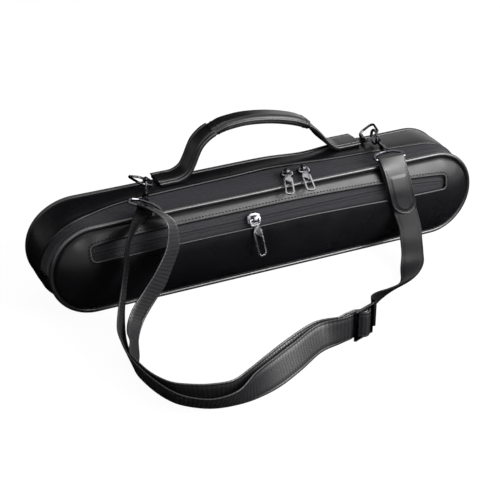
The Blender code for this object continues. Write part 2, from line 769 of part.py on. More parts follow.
def ribbon(name, rows, finish, steps, origin):
    """Flat webbing along rows of middle point and width direction."""
    smooth = smooth_rows([tuple(p) + tuple(w.normalized()) for p, w in rows], steps)
    count = len(smooth)
    sections = []
    for k, row in enumerate(smooth):
        point = Vector(row[:3])
        along = (Vector(smooth[min(k + 1, count - 1)][:3]) - Vector(smooth[max(k - 1, 0)][:3])).normalized()
        wide = Vector(row[3:]).normalized()
        thick = wide.cross(along).normalized() * (webbing_thickness / 2)
        wide = wide * (webbing_width / 2)
        sections.append([point - wide - thick, point + wide - thick, point + wide + thick,
                         point - wide + thick])
    return loft(name, sections, finish, origin=origin, smooth_angle=50)


def adjuster_frame():
    """Place and axes of the strap adjuster: left bar, direction along the strap, outward direction."""
    along = Vector((0.94, 0.34, 0)).normalized()
    out = Vector((0.34, -0.94, 0)).normalized()
    return Vector((0.11, -1.71, 0.146)) * strap_unit, along, out


def adjuster_rows(places):
    """Rows of webbing at the adjuster from places in units of the bar pitch: along and outward."""
    base, along, out = adjuster_frame()
    return [(base + along * (a * adjuster_pitch) + out * (b * adjuster_pitch), Vector((0, 0, 1))) for a,
            b in places]


def make_adjuster(origin):
    base, along, out = adjuster_frame()
    high = adjuster_height / 2
    up = Vector((0, 0, 1))

    def bar(place, half_long, half_deep, reach):
        centre = base + along * (place * adjuster_pitch)
        return [[centre + along * (half_long * math.cos(math.pi * (k + 0.5) / 4))
                 + out * (half_deep * math.sin(math.pi * (k + 0.5) / 4)) + up * level for k in range(8)]
                for level in (-reach, reach)]

    frame = loft("strap_adjuster", bar(0, adjuster_bar_long, adjuster_bar_deep, high), black_nickel,
                 origin=origin)
    cut_with(frame, loft("adjuster_middle_guide", bar(1, adjuster_middle, adjuster_middle,
            high - adjuster_rail / 2),
                         black_nickel, origin=origin), "UNION")
    cut_with(frame, loft("adjuster_right_guide", bar(2, adjuster_bar_deep, adjuster_bar_deep, high),
                         black_nickel, origin=origin), "UNION")
    for tag, level in (("low", -high), ("high", high - adjuster_rail)):
        corners = ((0, -0.8), (2 * adjuster_pitch / adjuster_bar_deep, -0.8),
                   (2 * adjuster_pitch / adjuster_bar_deep, 0.8), (0, 0.8))
        rail = [[base + along * (a * adjuster_bar_deep) + out * (b * adjuster_bar_deep) + up * z for a,
                 b in corners]
                for z in (level, level + adjuster_rail)]
        cut_with(frame, loft("adjuster_" + tag + "_guide", rail, black_nickel, origin=origin), "UNION")


def strap_place(x, y, z):
    """A place on the hanging strap: x and y in strap units, z rising with the bag's front."""
    place = Vector((x, y, z)) * strap_unit
    place.z *= strap_lift / strap_unit
    return place


def strap_rows(shares):
    """Rows of webbing from places in strap units and width directions."""
    return [(strap_place(*row[:3]), Vector(row[3:])) for row in shares]


def edge_rows(shares):
    """Rows of webbing from the place of its lower edge in strap units and its width direction."""
    rows = []
    for row in shares:
        wide = Vector(row[3:]).normalized()
        rows.append((Vector(row[:3]) * strap_unit + wide * (webbing_width / 2), wide))
    return rows


def shifted(rows, offset):
    """Rows moved sideways off their own face."""
    out = []
    for k, (point, wide) in enumerate(rows):
        along = (rows[min(k + 1, len(rows) - 1)][0] - rows[max(k - 1, 0)][0]).normalized()
        face = (wide - along * wide.dot(along)).normalized().cross(along)
        out.append((point + face * offset, wide))
    return out


def make_strap(hangs, left, right):
    left_eye, left_along, left_bar = left
    right_eye, right_along, right_bar = right
    left_hang, right_hang = hangs
    radius = eye_wire + seam_gap + webbing_thickness / 2
    across = left_along.cross(left_bar).normalized()
    swing = (left_hang + right_hang) / 2

    def by_bar(p, q):
        return left_eye + left_along * (p * radius) + across * (q * radius), left_bar

    floor = edge_rows(((-0.04, -1.712, 0.012, 0, 0, 1), (-0.25, -1.755, 0.006, 0, -0.06, 1),
                       (-0.54, -1.93, 0.006, -0.10, -0.16, 1), (-0.79, -2.06, 0.006, -0.14, -0.24, 1),
                       (-1.02, -2.13, 0.006, -0.10, -0.32, 1), (-1.25, -2.14, 0.006, -0.02, -0.36, 1),
                       (-1.43, -2.10, 0.006, -0.14, -0.34, 1), (-1.57, -2.01, 0.006, -0.26, -0.28, 1),
                       (-1.67, -1.90, 0.006, -0.32, -0.20, 1), (-1.74, -1.73, 0.006, -0.36, -0.12, 1),
                       (-1.78, -1.53, 0.006, -0.36, -0.10, 1), (-1.79, -1.36, 0.010, -0.36, -0.14, 1)))
    rise = strap_rows(((-1.81, -1.20, 0.150, -0.42, -0.30, 0.85), (-1.78, -1.02, 0.190, -0.46, -0.48, 0.74),
                       (-1.71, -0.84, 0.270, -0.46, -0.66, 0.60), (-1.63, -0.70, 0.400, -0.44, -0.74, 0.52),
                       (-1.56, -0.61, 0.585, -0.43, -0.75, 0.49),
                       (-1.538, -0.58, 0.713, -0.40, -0.76, 0.51),
                       (-1.491, -0.54, 0.820, -0.40, -0.74, 0.54),
                       (-1.410, -0.46, 0.885, -0.58, -0.58, 0.56),
                       (-1.340, -0.395, 0.905, -0.76, -0.26, 0.50)))
    start = adjuster_rows(((2.5, -0.28), (2.0, -0.28), (1.68, -0.17), (1.54, 0.02), (1.41, 0.22),
                           (1.25, 0.37),
                           (1.0, 0.43), (0.75, 0.37), (0.59, 0.22), (0.46, 0.02), (0.32, -0.17), (0, -0.28),
                           (-0.5, -0.28)))
    wrap = [by_bar(2.2, 1.1), by_bar(0.6, 1.0), by_bar(0, 1), by_bar(-0.7, 0.7), by_bar(-1, 0),
            by_bar(-0.7, -0.7), by_bar(0, -1)]
    ribbon("strap_webbing_front", start + floor + rise + wrap, webbing_fabric, 2, swing)
    fixed = adjuster_rows(((-1.6, -0.80), (-0.6, -0.79), (-0.2, -0.72), (0.30, -0.66), (0.62, -0.45),
                           (0.90, -0.26),
                           (1.17, -0.17), (1.24, 0), (1.17, 0.17), (1.0, 0.235), (0.80, 0.14),
                           (0.69, -0.10), (0.50, -0.32), (0.20, -0.49), (-0.2, -0.54), (-0.6, -0.54)))
    inner = shifted(floor, -ply_spacing)
    fall = strap_rows(((-1.735, -1.20, 0.135, -0.40, -0.26, 0.88),
                       (-1.680, -1.02, 0.140, -0.55, -0.42, 0.72),
                       (-1.595, -0.86, 0.155, -0.68, -0.45, 0.58),
                       (-1.508, -0.775, 0.215, -0.71, -0.40, 0.58),
                       (-1.392, -0.71, 0.300, -0.72, -0.41, 0.56),
                       (-1.300, -0.68, 0.390, -0.68, -0.42, 0.60),
                       (-1.225, -0.65, 0.490, -0.70, -0.50, 0.51),
                       (-1.135, -0.605, 0.620, -0.74, -0.57, 0.35),
                       (-1.100, -0.570, 0.715, -0.70, -0.62, 0.35),
                       (-1.095, -0.535, 0.830, -0.60, -0.60, 0.45),
                       (-1.135, -0.490, 0.905, -0.68, -0.45, 0.48),
                       (-1.215, -0.415, 0.955, -0.80, -0.20, 0.48)))
    ribbon("strap_webbing_back", fixed + inner + fall + [by_bar(2.0, -1.4), by_bar(0.45, -1.05)],
           webbing_fabric, 2, swing)
    right_rows = adjuster_rows(((2.60, -0.28), (2.85, -0.28))) + edge_rows((
        (0.43, -1.46, 0.012, 0.15, -0.25, 0.95), (0.51, -1.28, 0.006, 0.33, -0.48, 0.80),
        (0.64, -1.20, 0.006, 0.46, -0.55, 0.70), (0.79, -1.14, 0.006, 0.58, -0.56, 0.60),
        (0.92, -1.10, 0.010, 0.74, -0.50, 0.44)))
    right_rows += strap_rows(((1.10, -1.00, 0.062, 0.93, -0.24, 0.14),
                              (1.17, -0.89, 0.070, 0.98, -0.04, -0.06),
                         (1.231, -0.79, 0.135, 0.98, 0.02, -0.14),
                              (1.290, -0.665, 0.205, 0.98, 0.02, -0.14),
                         (1.318, -0.585, 0.295, 0.98, 0.02, -0.10)))
    tab = tab_line(right_eye, right_along, right_bar)
    for k in (6, 5, 4, 3, 2):
        right_rows.append(tab[k])
    ribbon("strap_webbing_right", right_rows, webbing_fabric, 2, swing)
    make_tab(tab, right_eye, swing)
    make_adjuster(swing)


def tab_line(eye, along, bar):
    """Middle line of the leather end tab from the eye bar down the front panel."""
    line = [(eye, bar)]
    for x, y, z in ((0.004, -0.055, -0.075), (0.02, -0.095, -0.165), (0.04, -0.125, -0.275),
                    (0.065, -0.140, -0.385), (0.09, -0.152, -0.470), (0.10, -0.165, -0.525)):
        line.append((eye + strap_place(x, y, z), Vector((1, 0, 0.02))))
    return line


def make_tab(line, eye, origin):
    """Leather tab folded over the eye bar, with a long round-ended front layer and a shorter back layer."""
    half = tab_width / 2
    inner = eye_wire + seam_gap
    outer = inner + tab_leather
    widths = (1, 1, 1, 1, 0.97, 0.72, 0.22)
    sections = []

    def face_at(k):
        before = line[max(k - 1, 0)][0]
        after = line[min(k + 1, len(line) - 1)][0]
        along = (after - before).normalized()
        wide = line[k][1].normalized()
        face = along.cross(wide).normalized()
        return face, wide, wide.cross(face)

    def add(k, low, high, share):
        face, wide, along = face_at(k)
        point = line[k][0]
        sections.append([point + face * low - wide * (half * share),
                         point + face * high - wide * (half * share),
                         point + face * high + wide * (half * share),
                         point + face * low + wide * (half * share)])

    for k in range(len(line) - 1, 0, -1):
        add(k, inner, outer, widths[k])
    face, wide, along = face_at(0)
    for angle in (90, 45, 0, -45, -90):
        turn = math.radians(angle)
        out = face * math.sin(turn) - along * math.cos(turn)
        sections.append([eye + out * inner - wide * half, eye + out * outer - wide * half,
                         eye + out * outer + wide * half, eye + out * inner + wide * half])
    for k in (1, 2, 3):
        add(k, -inner, -outer, 1)
    loft("strap_end_tab", sections, leather, origin=origin)


def make_all():
    for old in list(bpy.data.objects):
        bpy.data.objects.remove(old, do_unlink=True)
    make_rear_half()
    make_lid(Vector((0, piping_front_y, piping_radius)))
    make_sliders()
    points = handle_points()
    make_handle(points)
    ends = ((points[0], -1), (points[-1], 1))
    make_rivets(ends)
    hangs = []
    for side, (end, way), yaw, tilt in zip(("left", "right"), ends, ring_yaws, ring_tilts):
        hangs.append(make_ring(side, end, way, yaw, tilt))
        make_ring_loop(side, end, way, yaw, tilt)
    aims = [strap_place(*p) for p in ((-1.243, -0.278, 0.93), (1.220, -0.350, 0.925))]
    swing = (hangs[0] + hangs[1]) / 2
    left = make_hook("left", hangs[0], aims[0], 160, swing)
    right = make_hook("right", hangs[1], aims[1], 2, swing)
    make_strap(hangs, left, right)


if __name__ == "__main__":
    make_all()
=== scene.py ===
import math

import bpy
import bmesh
from mathutils import Matrix, Vector, noise


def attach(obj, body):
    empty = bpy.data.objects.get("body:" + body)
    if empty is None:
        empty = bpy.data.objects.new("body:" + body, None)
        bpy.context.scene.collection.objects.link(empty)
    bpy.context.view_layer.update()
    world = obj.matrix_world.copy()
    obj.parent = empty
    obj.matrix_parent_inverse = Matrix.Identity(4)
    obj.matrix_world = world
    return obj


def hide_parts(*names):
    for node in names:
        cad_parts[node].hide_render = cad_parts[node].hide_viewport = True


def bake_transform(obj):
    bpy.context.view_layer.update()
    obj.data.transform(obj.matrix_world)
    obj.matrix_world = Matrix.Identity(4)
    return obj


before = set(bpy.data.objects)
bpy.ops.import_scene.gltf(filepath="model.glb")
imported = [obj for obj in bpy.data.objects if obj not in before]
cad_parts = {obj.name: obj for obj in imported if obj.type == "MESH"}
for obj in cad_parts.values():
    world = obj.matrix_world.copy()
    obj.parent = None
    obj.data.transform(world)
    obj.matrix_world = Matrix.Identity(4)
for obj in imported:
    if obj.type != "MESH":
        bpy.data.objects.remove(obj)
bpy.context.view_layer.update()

print("frame loaded")

# camera, fitted to the photograph's outlines
camera = {
    "place": (-0.5176, -1.0572, 0.6592),
    "right": (0.9018, -0.4321, 0.0033),
    "up": (0.2069, 0.4386, 0.8745),
    "lens": 101.45,
    "sensor": 36.0,
}


def makeCamera():
    data = bpy.data.cameras.new("photoCamera")
    data.lens = camera["lens"]
    data.sensor_width = camera["sensor"]
    data.clip_start = 0.01
    data.clip_end = 50
    holder = bpy.data.objects.new("photoCamera", data)
    bpy.context.collection.objects.link(holder)
    right = Vector(camera["right"]).normalized()
    up = Vector(camera["up"])
    up = (up - right * up.dot(right)).normalized()
    back = right.cross(up)
    turn = Matrix((right, up, back)).transposed().to_4x4()
    holder.matrix_world = Matrix.Translation(Vector(camera["place"])) @ turn
    bpy.context.scene.camera = holder


makeCamera()


# materials: leathers, cloths and metals; the nylon coil and the thread are made as the leathers are
def startMaterial(name):
    material = bpy.data.materials.new(name)
    material.use_nodes = True
    tree = material.node_tree
    tree.nodes.clear()
    out = tree.nodes.new("ShaderNodeOutputMaterial")
    shader = tree.nodes.new("ShaderNodeBsdfPrincipled")
    tree.links.new(shader.outputs["BSDF"], out.inputs["Surface"])
    return material, tree, shader


def addNode(tree, kind, **values):
    node = tree.nodes.new("ShaderNode" + kind)
    for key, value in values.items():
        if hasattr(node, key):
            setattr(node, key, value)
        else:
            node.inputs[key].default_value = value
    return node


def mixColours(tree, factor, dark, light, low=0.35, high=0.65):
    ramp = addNode(tree, "ValToRGB")
    ramp.color_ramp.elements[0].position = low
    ramp.color_ramp.elements[0].color = (*dark, 1)
    ramp.color_ramp.elements[1].position = high
    ramp.color_ramp.elements[1].color = (*light, 1)
    tree.links.new(factor, ramp.inputs["Fac"])
    return ramp.outputs["Color"]


def spread(tree, factor, low, high, start=0.3, end=0.7):
    shift = addNode(tree, "MapRange")
    for key, value in (("From Min", start), ("From Max", end), ("To Min", low), ("To Max", high)):
        shift.inputs[key].default_value = value
    tree.links.new(factor, shift.inputs["Value"])
    return shift.outputs["Result"]


def product(tree, first, second):
    times = addNode(tree, "Math", operation="MULTIPLY")
    tree.links.new(first, times.inputs[0])
    if isinstance(second, float):
        times.inputs[1].default_value = second
    else:
        tree.links.new(second, times.inputs[1])
    return times.outputs[0]


def bumpFrom(tree, height, strength, distance, before=None):
    bump = addNode(tree, "Bump")
    bump.inputs["Strength"].default_value = strength
    bump.inputs["Distance"].default_value = distance
    tree.links.new(height, bump.inputs["Height"])
    if before is not None:
        tree.links.new(before, bump.inputs["Normal"])
    return bump.outputs["Normal"]


def leatherMaterial(name, dark, light, rough, specular, grain):
    material, tree, shader = startMaterial(name)
    place = addNode(tree, "TexCoord").outputs["Object"]
    cloud = addNode(tree, "TexNoise", Scale=14.0, Detail=3.0)
    tree.links.new(place, cloud.inputs["Vector"])
    tree.links.new(mixColours(tree, cloud.outputs["Fac"], dark, light), shader.inputs["Base Color"])
    wear = addNode(tree, "TexNoise", Scale=60.0, Detail=4.0)
    tree.links.new(place, wear.inputs["Vector"])
    tree.links.new(spread(tree, wear.outputs["Fac"], *rough), shader.inputs["Roughness"])
    pebble = addNode(tree, "TexVoronoi", feature="SMOOTH_F1", Scale=1300.0)
    tree.links.new(place, pebble.inputs["Vector"])
    normal = bumpFrom(tree, pebble.outputs["Distance"], grain, 0.00006)
    soft = addNode(tree, "TexNoise", Scale=210.0, Detail=2.0)
    tree.links.new(place, soft.inputs["Vector"])
    normal = bumpFrom(tree, soft.outputs["Fac"], grain * 0.5, 0.00012, normal)
    tree.links.new(normal, shader.inputs["Normal"])
    shader.inputs["Specular IOR Level"].default_value = specular
    return material


def wovenMaterial(name, dark, light, alongPitch, acrossPitch, lines, fluff, depth, rough, sheen, specular,
                  paintedShadeHeights=None):
    material, tree, shader = startMaterial(name)
    strip = addNode(tree, "UVMap").outputs["UV"]
    parts = addNode(tree, "SeparateXYZ")
    tree.links.new(strip, parts.inputs["Vector"])

    def wave(source, pitch):
        sine = addNode(tree, "Math", operation="SINE")
        tree.links.new(product(tree, source, 2 * math.pi / pitch), sine.inputs[0])
        return sine.outputs[0]

    across = wave(parts.outputs["X"], acrossPitch)
    along = wave(parts.outputs["Y"], alongPitch)
    weave = addNode(tree, "Math", operation="MULTIPLY_ADD")
    weave.inputs[1].default_value = lines
    tree.links.new(across, weave.inputs[0])
    tree.links.new(along, weave.inputs[2])
    place = addNode(tree, "TexCoord").outputs["Object"]
    fuzz = addNode(tree, "TexNoise", Scale=900.0, Detail=2.0)
    tree.links.new(place, fuzz.inputs["Vector"])
    whole = addNode(tree, "Math", operation="MULTIPLY_ADD")
    whole.inputs[1].default_value = fluff
    tree.links.new(fuzz.outputs["Fac"], whole.inputs[0])
    tree.links.new(weave.outputs[0], whole.inputs[2])
    level = spread(tree, whole.outputs[0], 0.0, 1.0, -0.9, 2.0)
    shader.inputs["Specular IOR Level"].default_value = specular
    if paintedShadeHeights:  # painted shade: between these two heights the cloth's colour and specular fade to a fifth, darker higher up
        height = addNode(tree, "SeparateXYZ")
        tree.links.new(place, height.inputs["Vector"])
        paintedShade = spread(tree, height.outputs["Z"], 1.0, 0.2, *paintedShadeHeights)
        level = product(tree, level, paintedShade)
        tree.links.new(product(tree, paintedShade, specular), shader.inputs["Specular IOR Level"])
    tree.links.new(mixColours(tree, level, dark, light, 0.15, 0.85), shader.inputs["Base Color"])
    gloss = spread(tree, whole.outputs[0], rough + 0.08, rough - 0.06, -0.9, 2.0)
    tree.links.new(gloss, shader.inputs["Roughness"])
    tree.links.new(bumpFrom(tree, whole.outputs[0], 0.7, depth), shader.inputs["Normal"])
    shader.inputs["Sheen Weight"].default_value = sheen
    shader.inputs["Sheen Roughness"].default_value = 0.45
    shader.inputs["Sheen Tint"].default_value = (0.8, 0.8, 0.88, 1)
    return material


def metalMaterial(name, colour, rough, metallic):
    material, tree, shader = startMaterial(name)
    place = addNode(tree, "TexCoord").outputs["Object"]
    smear = addNode(tree, "TexNoise", Scale=420.0, Detail=5.0)
    tree.links.new(place, smear.inputs["Vector"])
    tree.links.new(spread(tree, smear.outputs["Fac"], *rough), shader.inputs["Roughness"])
    tone = tuple(c * 0.82 for c in colour)
    tree.links.new(mixColours(tree, smear.outputs["Fac"], tone, colour), shader.inputs["Base Color"])
    shader.inputs["Metallic"].default_value = metallic
    return material


leathers = {
    "skin": {"name": "blackLeather", "dark": (0.0022, 0.0020, 0.0026), "light": (0.0040, 0.0037, 0.0046),
             "rough": (0.26, 0.34), "specular": 0.25, "grain": 0.35},
    "welt": {"name": "weltLeather", "dark": (0.004, 0.004, 0.0045), "light": (0.008, 0.008, 0.009),
             "rough": (0.30, 0.38), "specular": 0.85, "grain": 0.15},
    "lip": {"name": "lipLeather", "dark": (0.003, 0.003, 0.0035), "light": (0.006, 0.006, 0.007),
            "rough": (0.34, 0.42), "specular": 0.42, "grain": 0.15},
    "handle": {"name": "handleLeather", "dark": (0.0028, 0.0028, 0.0033), "light": (0.0055, 0.0055, 0.0065),
               "rough": (0.28, 0.36), "specular": 0.42, "grain": 0.35},
    "coil": {"name": "coilNylon", "dark": (0.004, 0.004, 0.005), "light": (0.010, 0.010, 0.011),
             "rough": (0.30, 0.42), "specular": 0.3, "grain": 0.05},
    "thread": {"name": "sewingThread", "dark": (0.0015, 0.0015, 0.002), "light": (0.004, 0.004, 0.005),
               "rough": (0.7, 0.8), "specular": 0.08, "grain": 0.1},
}
cloths = {
    "tape": {"name": "zipTapeCloth", "dark": (0.006, 0.006, 0.007), "light": (0.030, 0.030, 0.034),
             "alongPitch": 0.0011, "acrossPitch": 0.0009, "lines": 0.5, "fluff": 1.2, "depth": 0.00010,
             "rough": 0.55, "sheen": 0.05, "specular": 0.12},
    "webbing": {"name": "strapWebbing", "dark": (0.006, 0.006, 0.0065), "light": (0.022, 0.022, 0.024),
                "alongPitch": 0.0036, "acrossPitch": 0.0019, "lines": 0.25, "fluff": 0.5, "depth": 0.00006,
                "rough": 0.36, "sheen": 0.0, "specular": 0.85},
    # painted shade: a darker, less glossy copy of the webbing, which also darkens with height, for the front
    # ply that rises in shade
    "risingWebbingPaintedShade": {"name": "risingWebbingPaintedShade", "dark": (0.005, 0.005, 0.0055), "light": (0.016, 0.016, 0.018),
                      "alongPitch": 0.0036, "acrossPitch": 0.0019, "lines": 0.25, "fluff": 0.5,
                      "depth": 0.00006, "rough": 0.40, "sheen": 0.0, "specular": 0.5,
                      "paintedShadeHeights": (0.030, 0.055)},
    # painted shade: a much darker, duller copy of the webbing for the hanging right end, which lies in shade
    "shadedWebbing": {"name": "hangingWebbingPaintedShade", "dark": (0.002, 0.002, 0.0024),
                      "light": (0.007, 0.007, 0.008), "alongPitch": 0.0012, "acrossPitch": 0.0019,
                      "lines": 0.25, "fluff": 0.5, "depth": 0.00004, "rough": 0.48, "sheen": 0.0,
                      "specular": 0.14},
    "lining": {"name": "liningCloth", "dark": (0.008, 0.008, 0.010), "light": (0.020, 0.020, 0.023),
               "alongPitch": 0.0008, "acrossPitch": 0.0008, "lines": 0.5, "fluff": 1.2, "depth": 0.00006,
               "rough": 0.70, "sheen": 0.25, "specular": 0.25},
}
metals = {
    "silver": {"name": "polishedMetal", "colour": (0.62, 0.62, 0.64), "rough": (0.18, 0.26), "metallic": 1.0},
    "dull": {"name": "cloudedMetal", "colour": (0.17, 0.17, 0.18), "rough": (0.30, 0.40), "metallic": 1.0},
    "enamel": {"name": "blackEnamel", "colour": (0.06, 0.06, 0.065), "rough": (0.08, 0.14), "metallic": 0.85},
    "nickel": {"name": "blackNickel", "colour": (0.10, 0.10, 0.112), "rough": (0.12, 0.22), "metallic": 1.0},
}
finishes = {}
for makeFinish, kinds in ((leatherMaterial, leathers), (wovenMaterial, cloths), (metalMaterial, metals)):
    for finish, values in kinds.items():
        finishes[finish] = makeFinish(**values)
print("materials made")


# shapes that several pieces share: lofted skins, tubes and rows of stitches
def clamped(value):
    return min(max(value, 0), 1)


def eased(share):
    return share * share * (3 - 2 * share)


def build(name, points, faces, uvs, finish, smooth=50):
    mesh = bpy.data.meshes.new(name)
    mesh.from_pydata([tuple(p) for p in points], [], faces)
    if uvs is not None:
        layer = mesh.uv_layers.new(name="strip")
        for loop, value in zip(layer.data, uvs):
            loop.uv = value
    shape = bmesh.new()
    shape.from_mesh(mesh)
    bmesh.ops.recalc_face_normals(shape, faces=shape.faces)
    shape.to_mesh(mesh)
    shape.free()
    mesh.shade_smooth()
    mesh.set_sharp_from_angle(angle=math.radians(smooth))
    mesh.materials.append(finishes[finish])
    thing = bpy.data.objects.new(name, mesh)
    bpy.context.collection.objects.link(thing)
    return thing


# a skin over rows of points, with a cap at each end unless it closes on itself
def loftSkin(name, rows, finish, closed=False, smooth=50):
    count = len(rows[0])
    total = len(rows)
    points = [p for row in rows for p in row]
    across = [0.0]
    middle = rows[total // 2]
    for k in range(count):
        across.append(across[-1] + (middle[(k + 1) % count] - middle[k]).length)
    along = [0.0]
    for r in range(total):
        here = sum(rows[r], Vector()) / count
        there = sum(rows[(r + 1) % total], Vector()) / count
        along.append(along[-1] + (there - here).length)
    faces = []
    uvs = []
    for r in range(total if closed else total - 1):
        for k in range(count):
            a, b = r * count + k, r * count + (k + 1) % count
            c, d = (r + 1) % total * count + (k + 1) % count, (r + 1) % total * count + k
            faces.append((a, b, c, d))
            uvs += [(across[k], along[r]), (across[k + 1], along[r]),
                    (across[k + 1], along[r + 1]), (across[k], along[r + 1])]
    if not closed:
        faces.append(tuple(range(count - 1, -1, -1)))
        uvs += [(across[k], along[0]) for k in range(count - 1, -1, -1)]
        faces.append(tuple(range((total - 1) * count, total * count)))
        uvs += [(across[k], along[total - 1]) for k in range(count)]
    return build(name, points, faces, uvs, finish, smooth)


def smoothRows(rows, steps):
    out = []
    last = len(rows) - 1
    for k in range(last):
        p0, p1, p2, p3 = rows[max(k - 1, 0)], rows[k], rows[k + 1], rows[min(k + 2, last)]
        for step in range(steps):
            t = step / steps
            out.append([0.5 * (2 * b + (c - a) * t + (2 * a - 5 * b + 4 * c - d) * t * t
                               + (3 * b - a - 3 * c + d) * t ** 3) for a, b, c, d in zip(p0, p1, p2, p3)])
    out.append(list(rows[-1]))
    return out


def tubeRows(path, radius, sides, closed=False, side=None):
    rows = []
    count = len(path)
    angles = [2 * math.pi * s / sides for s in range(sides)]
    for k, point in enumerate(path):
        before = path[k - 1] if closed or k else path[0]
        after = path[(k + 1) % count] if closed or k + 1 < count else path[-1]
        along = (after - before).normalized()
        if side is None:
            side = along.orthogonal()
        side = (side - along * side.dot(along)).normalized()
        other = along.cross(side)
        rows.append([point + side * (radius * math.cos(a)) + other * (radius * math.sin(a)) for a in angles])
    return rows


def dress(thing, body, slot, *nodes):
    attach(thing, body)
    if nodes:
        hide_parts(*nodes)


def applyAll(thing):
    bpy.ops.object.select_all(action="DESELECT")
    thing.select_set(True)
    bpy.context.view_layer.objects.active = thing
    for modifier in list(thing.modifiers):
        bpy.ops.object.modifier_apply(modifier=modifier.name)


# one stitch, modelled once: a thin bead pulled long, with its ends sunk into the leather
def stitchTemplate():
    bpy.ops.object.select_all(action="DESELECT")
    bpy.ops.mesh.primitive_uv_sphere_add(segments=6, ring_count=5, radius=0.5)
    bead = bpy.context.object
    bpy.ops.object.mode_set(mode="EDIT")
    bpy.ops.mesh.select_all(action="SELECT")
    bpy.ops.transform.rotate(value=math.pi / 2, orient_axis="Y", center_override=(0, 0, 0))
    bpy.ops.object.mode_set(mode="OBJECT")
    points = [v.co.copy() for v in bead.data.vertices]
    faces = [tuple(p.vertices) for p in bead.data.polygons]
    bpy.data.objects.remove(bead, do_unlink=True)
    return points, faces


stitchPoints, stitchFaces = stitchTemplate()


def sewLine(name, places, finish, width=0.00085, height=0.00040):
    points = []
    faces = []
    for start, end, out in places:
        along = end - start
        length = along.length
        along = along.normalized()
        out = (out - along * out.dot(along)).normalized()
        side = out.cross(along)
        middle = (start + end) / 2
        first = len(points)
        for p in stitchPoints:
            points.append(middle + along * (p.x * length) + side * (p.y * width) + out * (p.z * height))
        faces += [tuple(first + k for k in face) for face in stitchFaces]
    return build(name, points, faces, None, finish, 60)


# evenly spaced stitches along a line of points, each with its way out of the leather
def walkStitches(line, length, gap):
    places = []
    reach = [0.0]
    for (a, _), (b, _) in zip(line, line[1:]):
        reach.append(reach[-1] + (b - a).length)

    def at(distance):
        for k in range(len(line) - 1):
            if distance <= reach[k + 1]:
                share = (distance - reach[k]) / max(reach[k + 1] - reach[k], 1e-9)
                return [here.lerp(there, share) for here, there in zip(line[k], line[k + 1])]
        return line[-1]

    count = int(reach[-1] / (length + gap))
    pitch = reach[-1] / max(count, 1)
    for k in range(count):
        a, out = at(k * pitch + gap / 2)
        b, _ = at(k * pitch + gap / 2 + length)
        places.append((a, b, out))
    return places


# outline of the bag, shared by both halves; all lengths are in metres
bag = {
    "length": 0.432, "frontHeight": 0.086, "rearHeight": 0.088, "depth": 0.062,
    "piping": 0.0018, "gap": 0.0003, "wall": 0.0024, "frontDome": 0.013, "rearDome": 0.005, "domePower": 2.2,
    "seamY": -0.0015, "zipY": -0.0125, "waver": 0.00035, "tuck": 0.0014, "tuckWidth": 0.0026,
    "pipingShown": 0.0021, "pipingOut": 0.0004, "seed": 1,
}
noise.seed_set(bag["seed"])  # unseeded, Blender's noise would differ at each start
frontY = -bag["depth"] / 2
rearY = bag["depth"] / 2
frontPipingY = frontY + bag["piping"]
rearPipingY = rearY - bag["piping"]
arcSteps = 36
runSteps = 72


def heightAt(y):
    return bag["frontHeight"] + (bag["rearHeight"] - bag["frontHeight"]) * (y - frontY) / bag["depth"]


def bagRing(y, inset, span="whole"):
    radius = heightAt(y) / 2
    straight = bag["length"] / 2 - radius
    spans = {"whole": (("arc", 1, -90, 90), ("run", 1, 90), ("arc", -1, 90, 270), ("run", -1, 270)),
             "upper": (("arc", 1, 0, 90), ("run", 1, 90), ("arc", -1, 90, 180)),
             "lower": (("arc", -1, 180, 270), ("run", -1, 270), ("arc", 1, 270, 360))}
    out = []
    for part in spans[span]:
        if part[0] == "arc":
            _, side, first, last = part
            steps = arcSteps * (last - first) // 180
            for s in range(steps + 1):
                angle = math.radians(first + (last - first) * s / steps)
                way = Vector((math.cos(angle), 0, math.sin(angle)))
                out.append((Vector((side * straight, y, radius)) + way * (radius - inset), way))
        else:
            _, side, angle = part
            way = Vector((0, 0, math.sin(math.radians(angle))))
            for s in range(1, runSteps):
                x = side * straight * (1 - 2 * s / runSteps)
                out.append((Vector((x, y, radius)) + way * (radius - inset), way))
    return out


# how far the seam bows to the rear of its straight line, by place along the top run and the end arcs
seamBow = ((-0.310, 0), (-0.275, -0.004), (-0.248, -0.0075), (-0.225, -0.0105), (-0.210, -0.0135),
           (-0.193, -0.0145), (-0.172, -0.0095), (-0.146, 0.001), (-0.117, 0.0045), (-0.060, 0.0070),
           (-0.016, 0.0085), (0.013, 0.0105), (0.045, 0.0065), (0.075, 0.003), (0.107, 0.0005),
           (0.140, -0.0005), (0.173, -0.0045), (0.194, -0.0065), (0.215, -0.0075), (0.248, -0.006),
           (0.280, -0.003), (0.310, 0))
leftBulge = {"start": 0.172, "end": 0.212, "reach": 0.0028}
topSag = {"middle": 0.060, "width": 0.028, "deep": 0.0030, "fromZ": 0.05, "overZ": 0.03, "fromY": 0.012,
          "overY": 0.016}


def bowLine(place):
    if place <= seamBow[0][0] or place >= seamBow[-1][0]:
        return 0.0
    for (a, low), (b, high) in zip(seamBow, seamBow[1:]):
        if place <= b:
            return low + (high - low) * (place - a) / (b - a)
    return 0.0


def bowAt(x, z):
    radius = bag["frontHeight"] / 2
    straight = bag["length"] / 2 - radius
    place = abs(x)
    if place > straight or z < radius:
        turn = math.atan2(max(place - straight, 0.0), z - radius)
        place = straight + radius * turn
    place = math.copysign(place, x)
    return sum(bowLine(place + step * 0.004) for step in range(-3, 4)) / 7


def bowShift(point):
    y = point.y
    front = frontPipingY + bag["piping"]
    rear = rearPipingY - bag["piping"]
    if y <= front or y >= rear:
        return 0.0
    bow = bowAt(point.x, point.z)
    zipMove = min(bow, 0.0) * 0.5
    if y <= bag["zipY"]:
        return zipMove * (y - front) / (bag["zipY"] - front)
    if y <= bag["seamY"]:
        return zipMove + (bow - zipMove) * (y - bag["zipY"]) / (bag["seamY"] - bag["zipY"])
    return bow * (rear - y) / (rear - bag["seamY"])


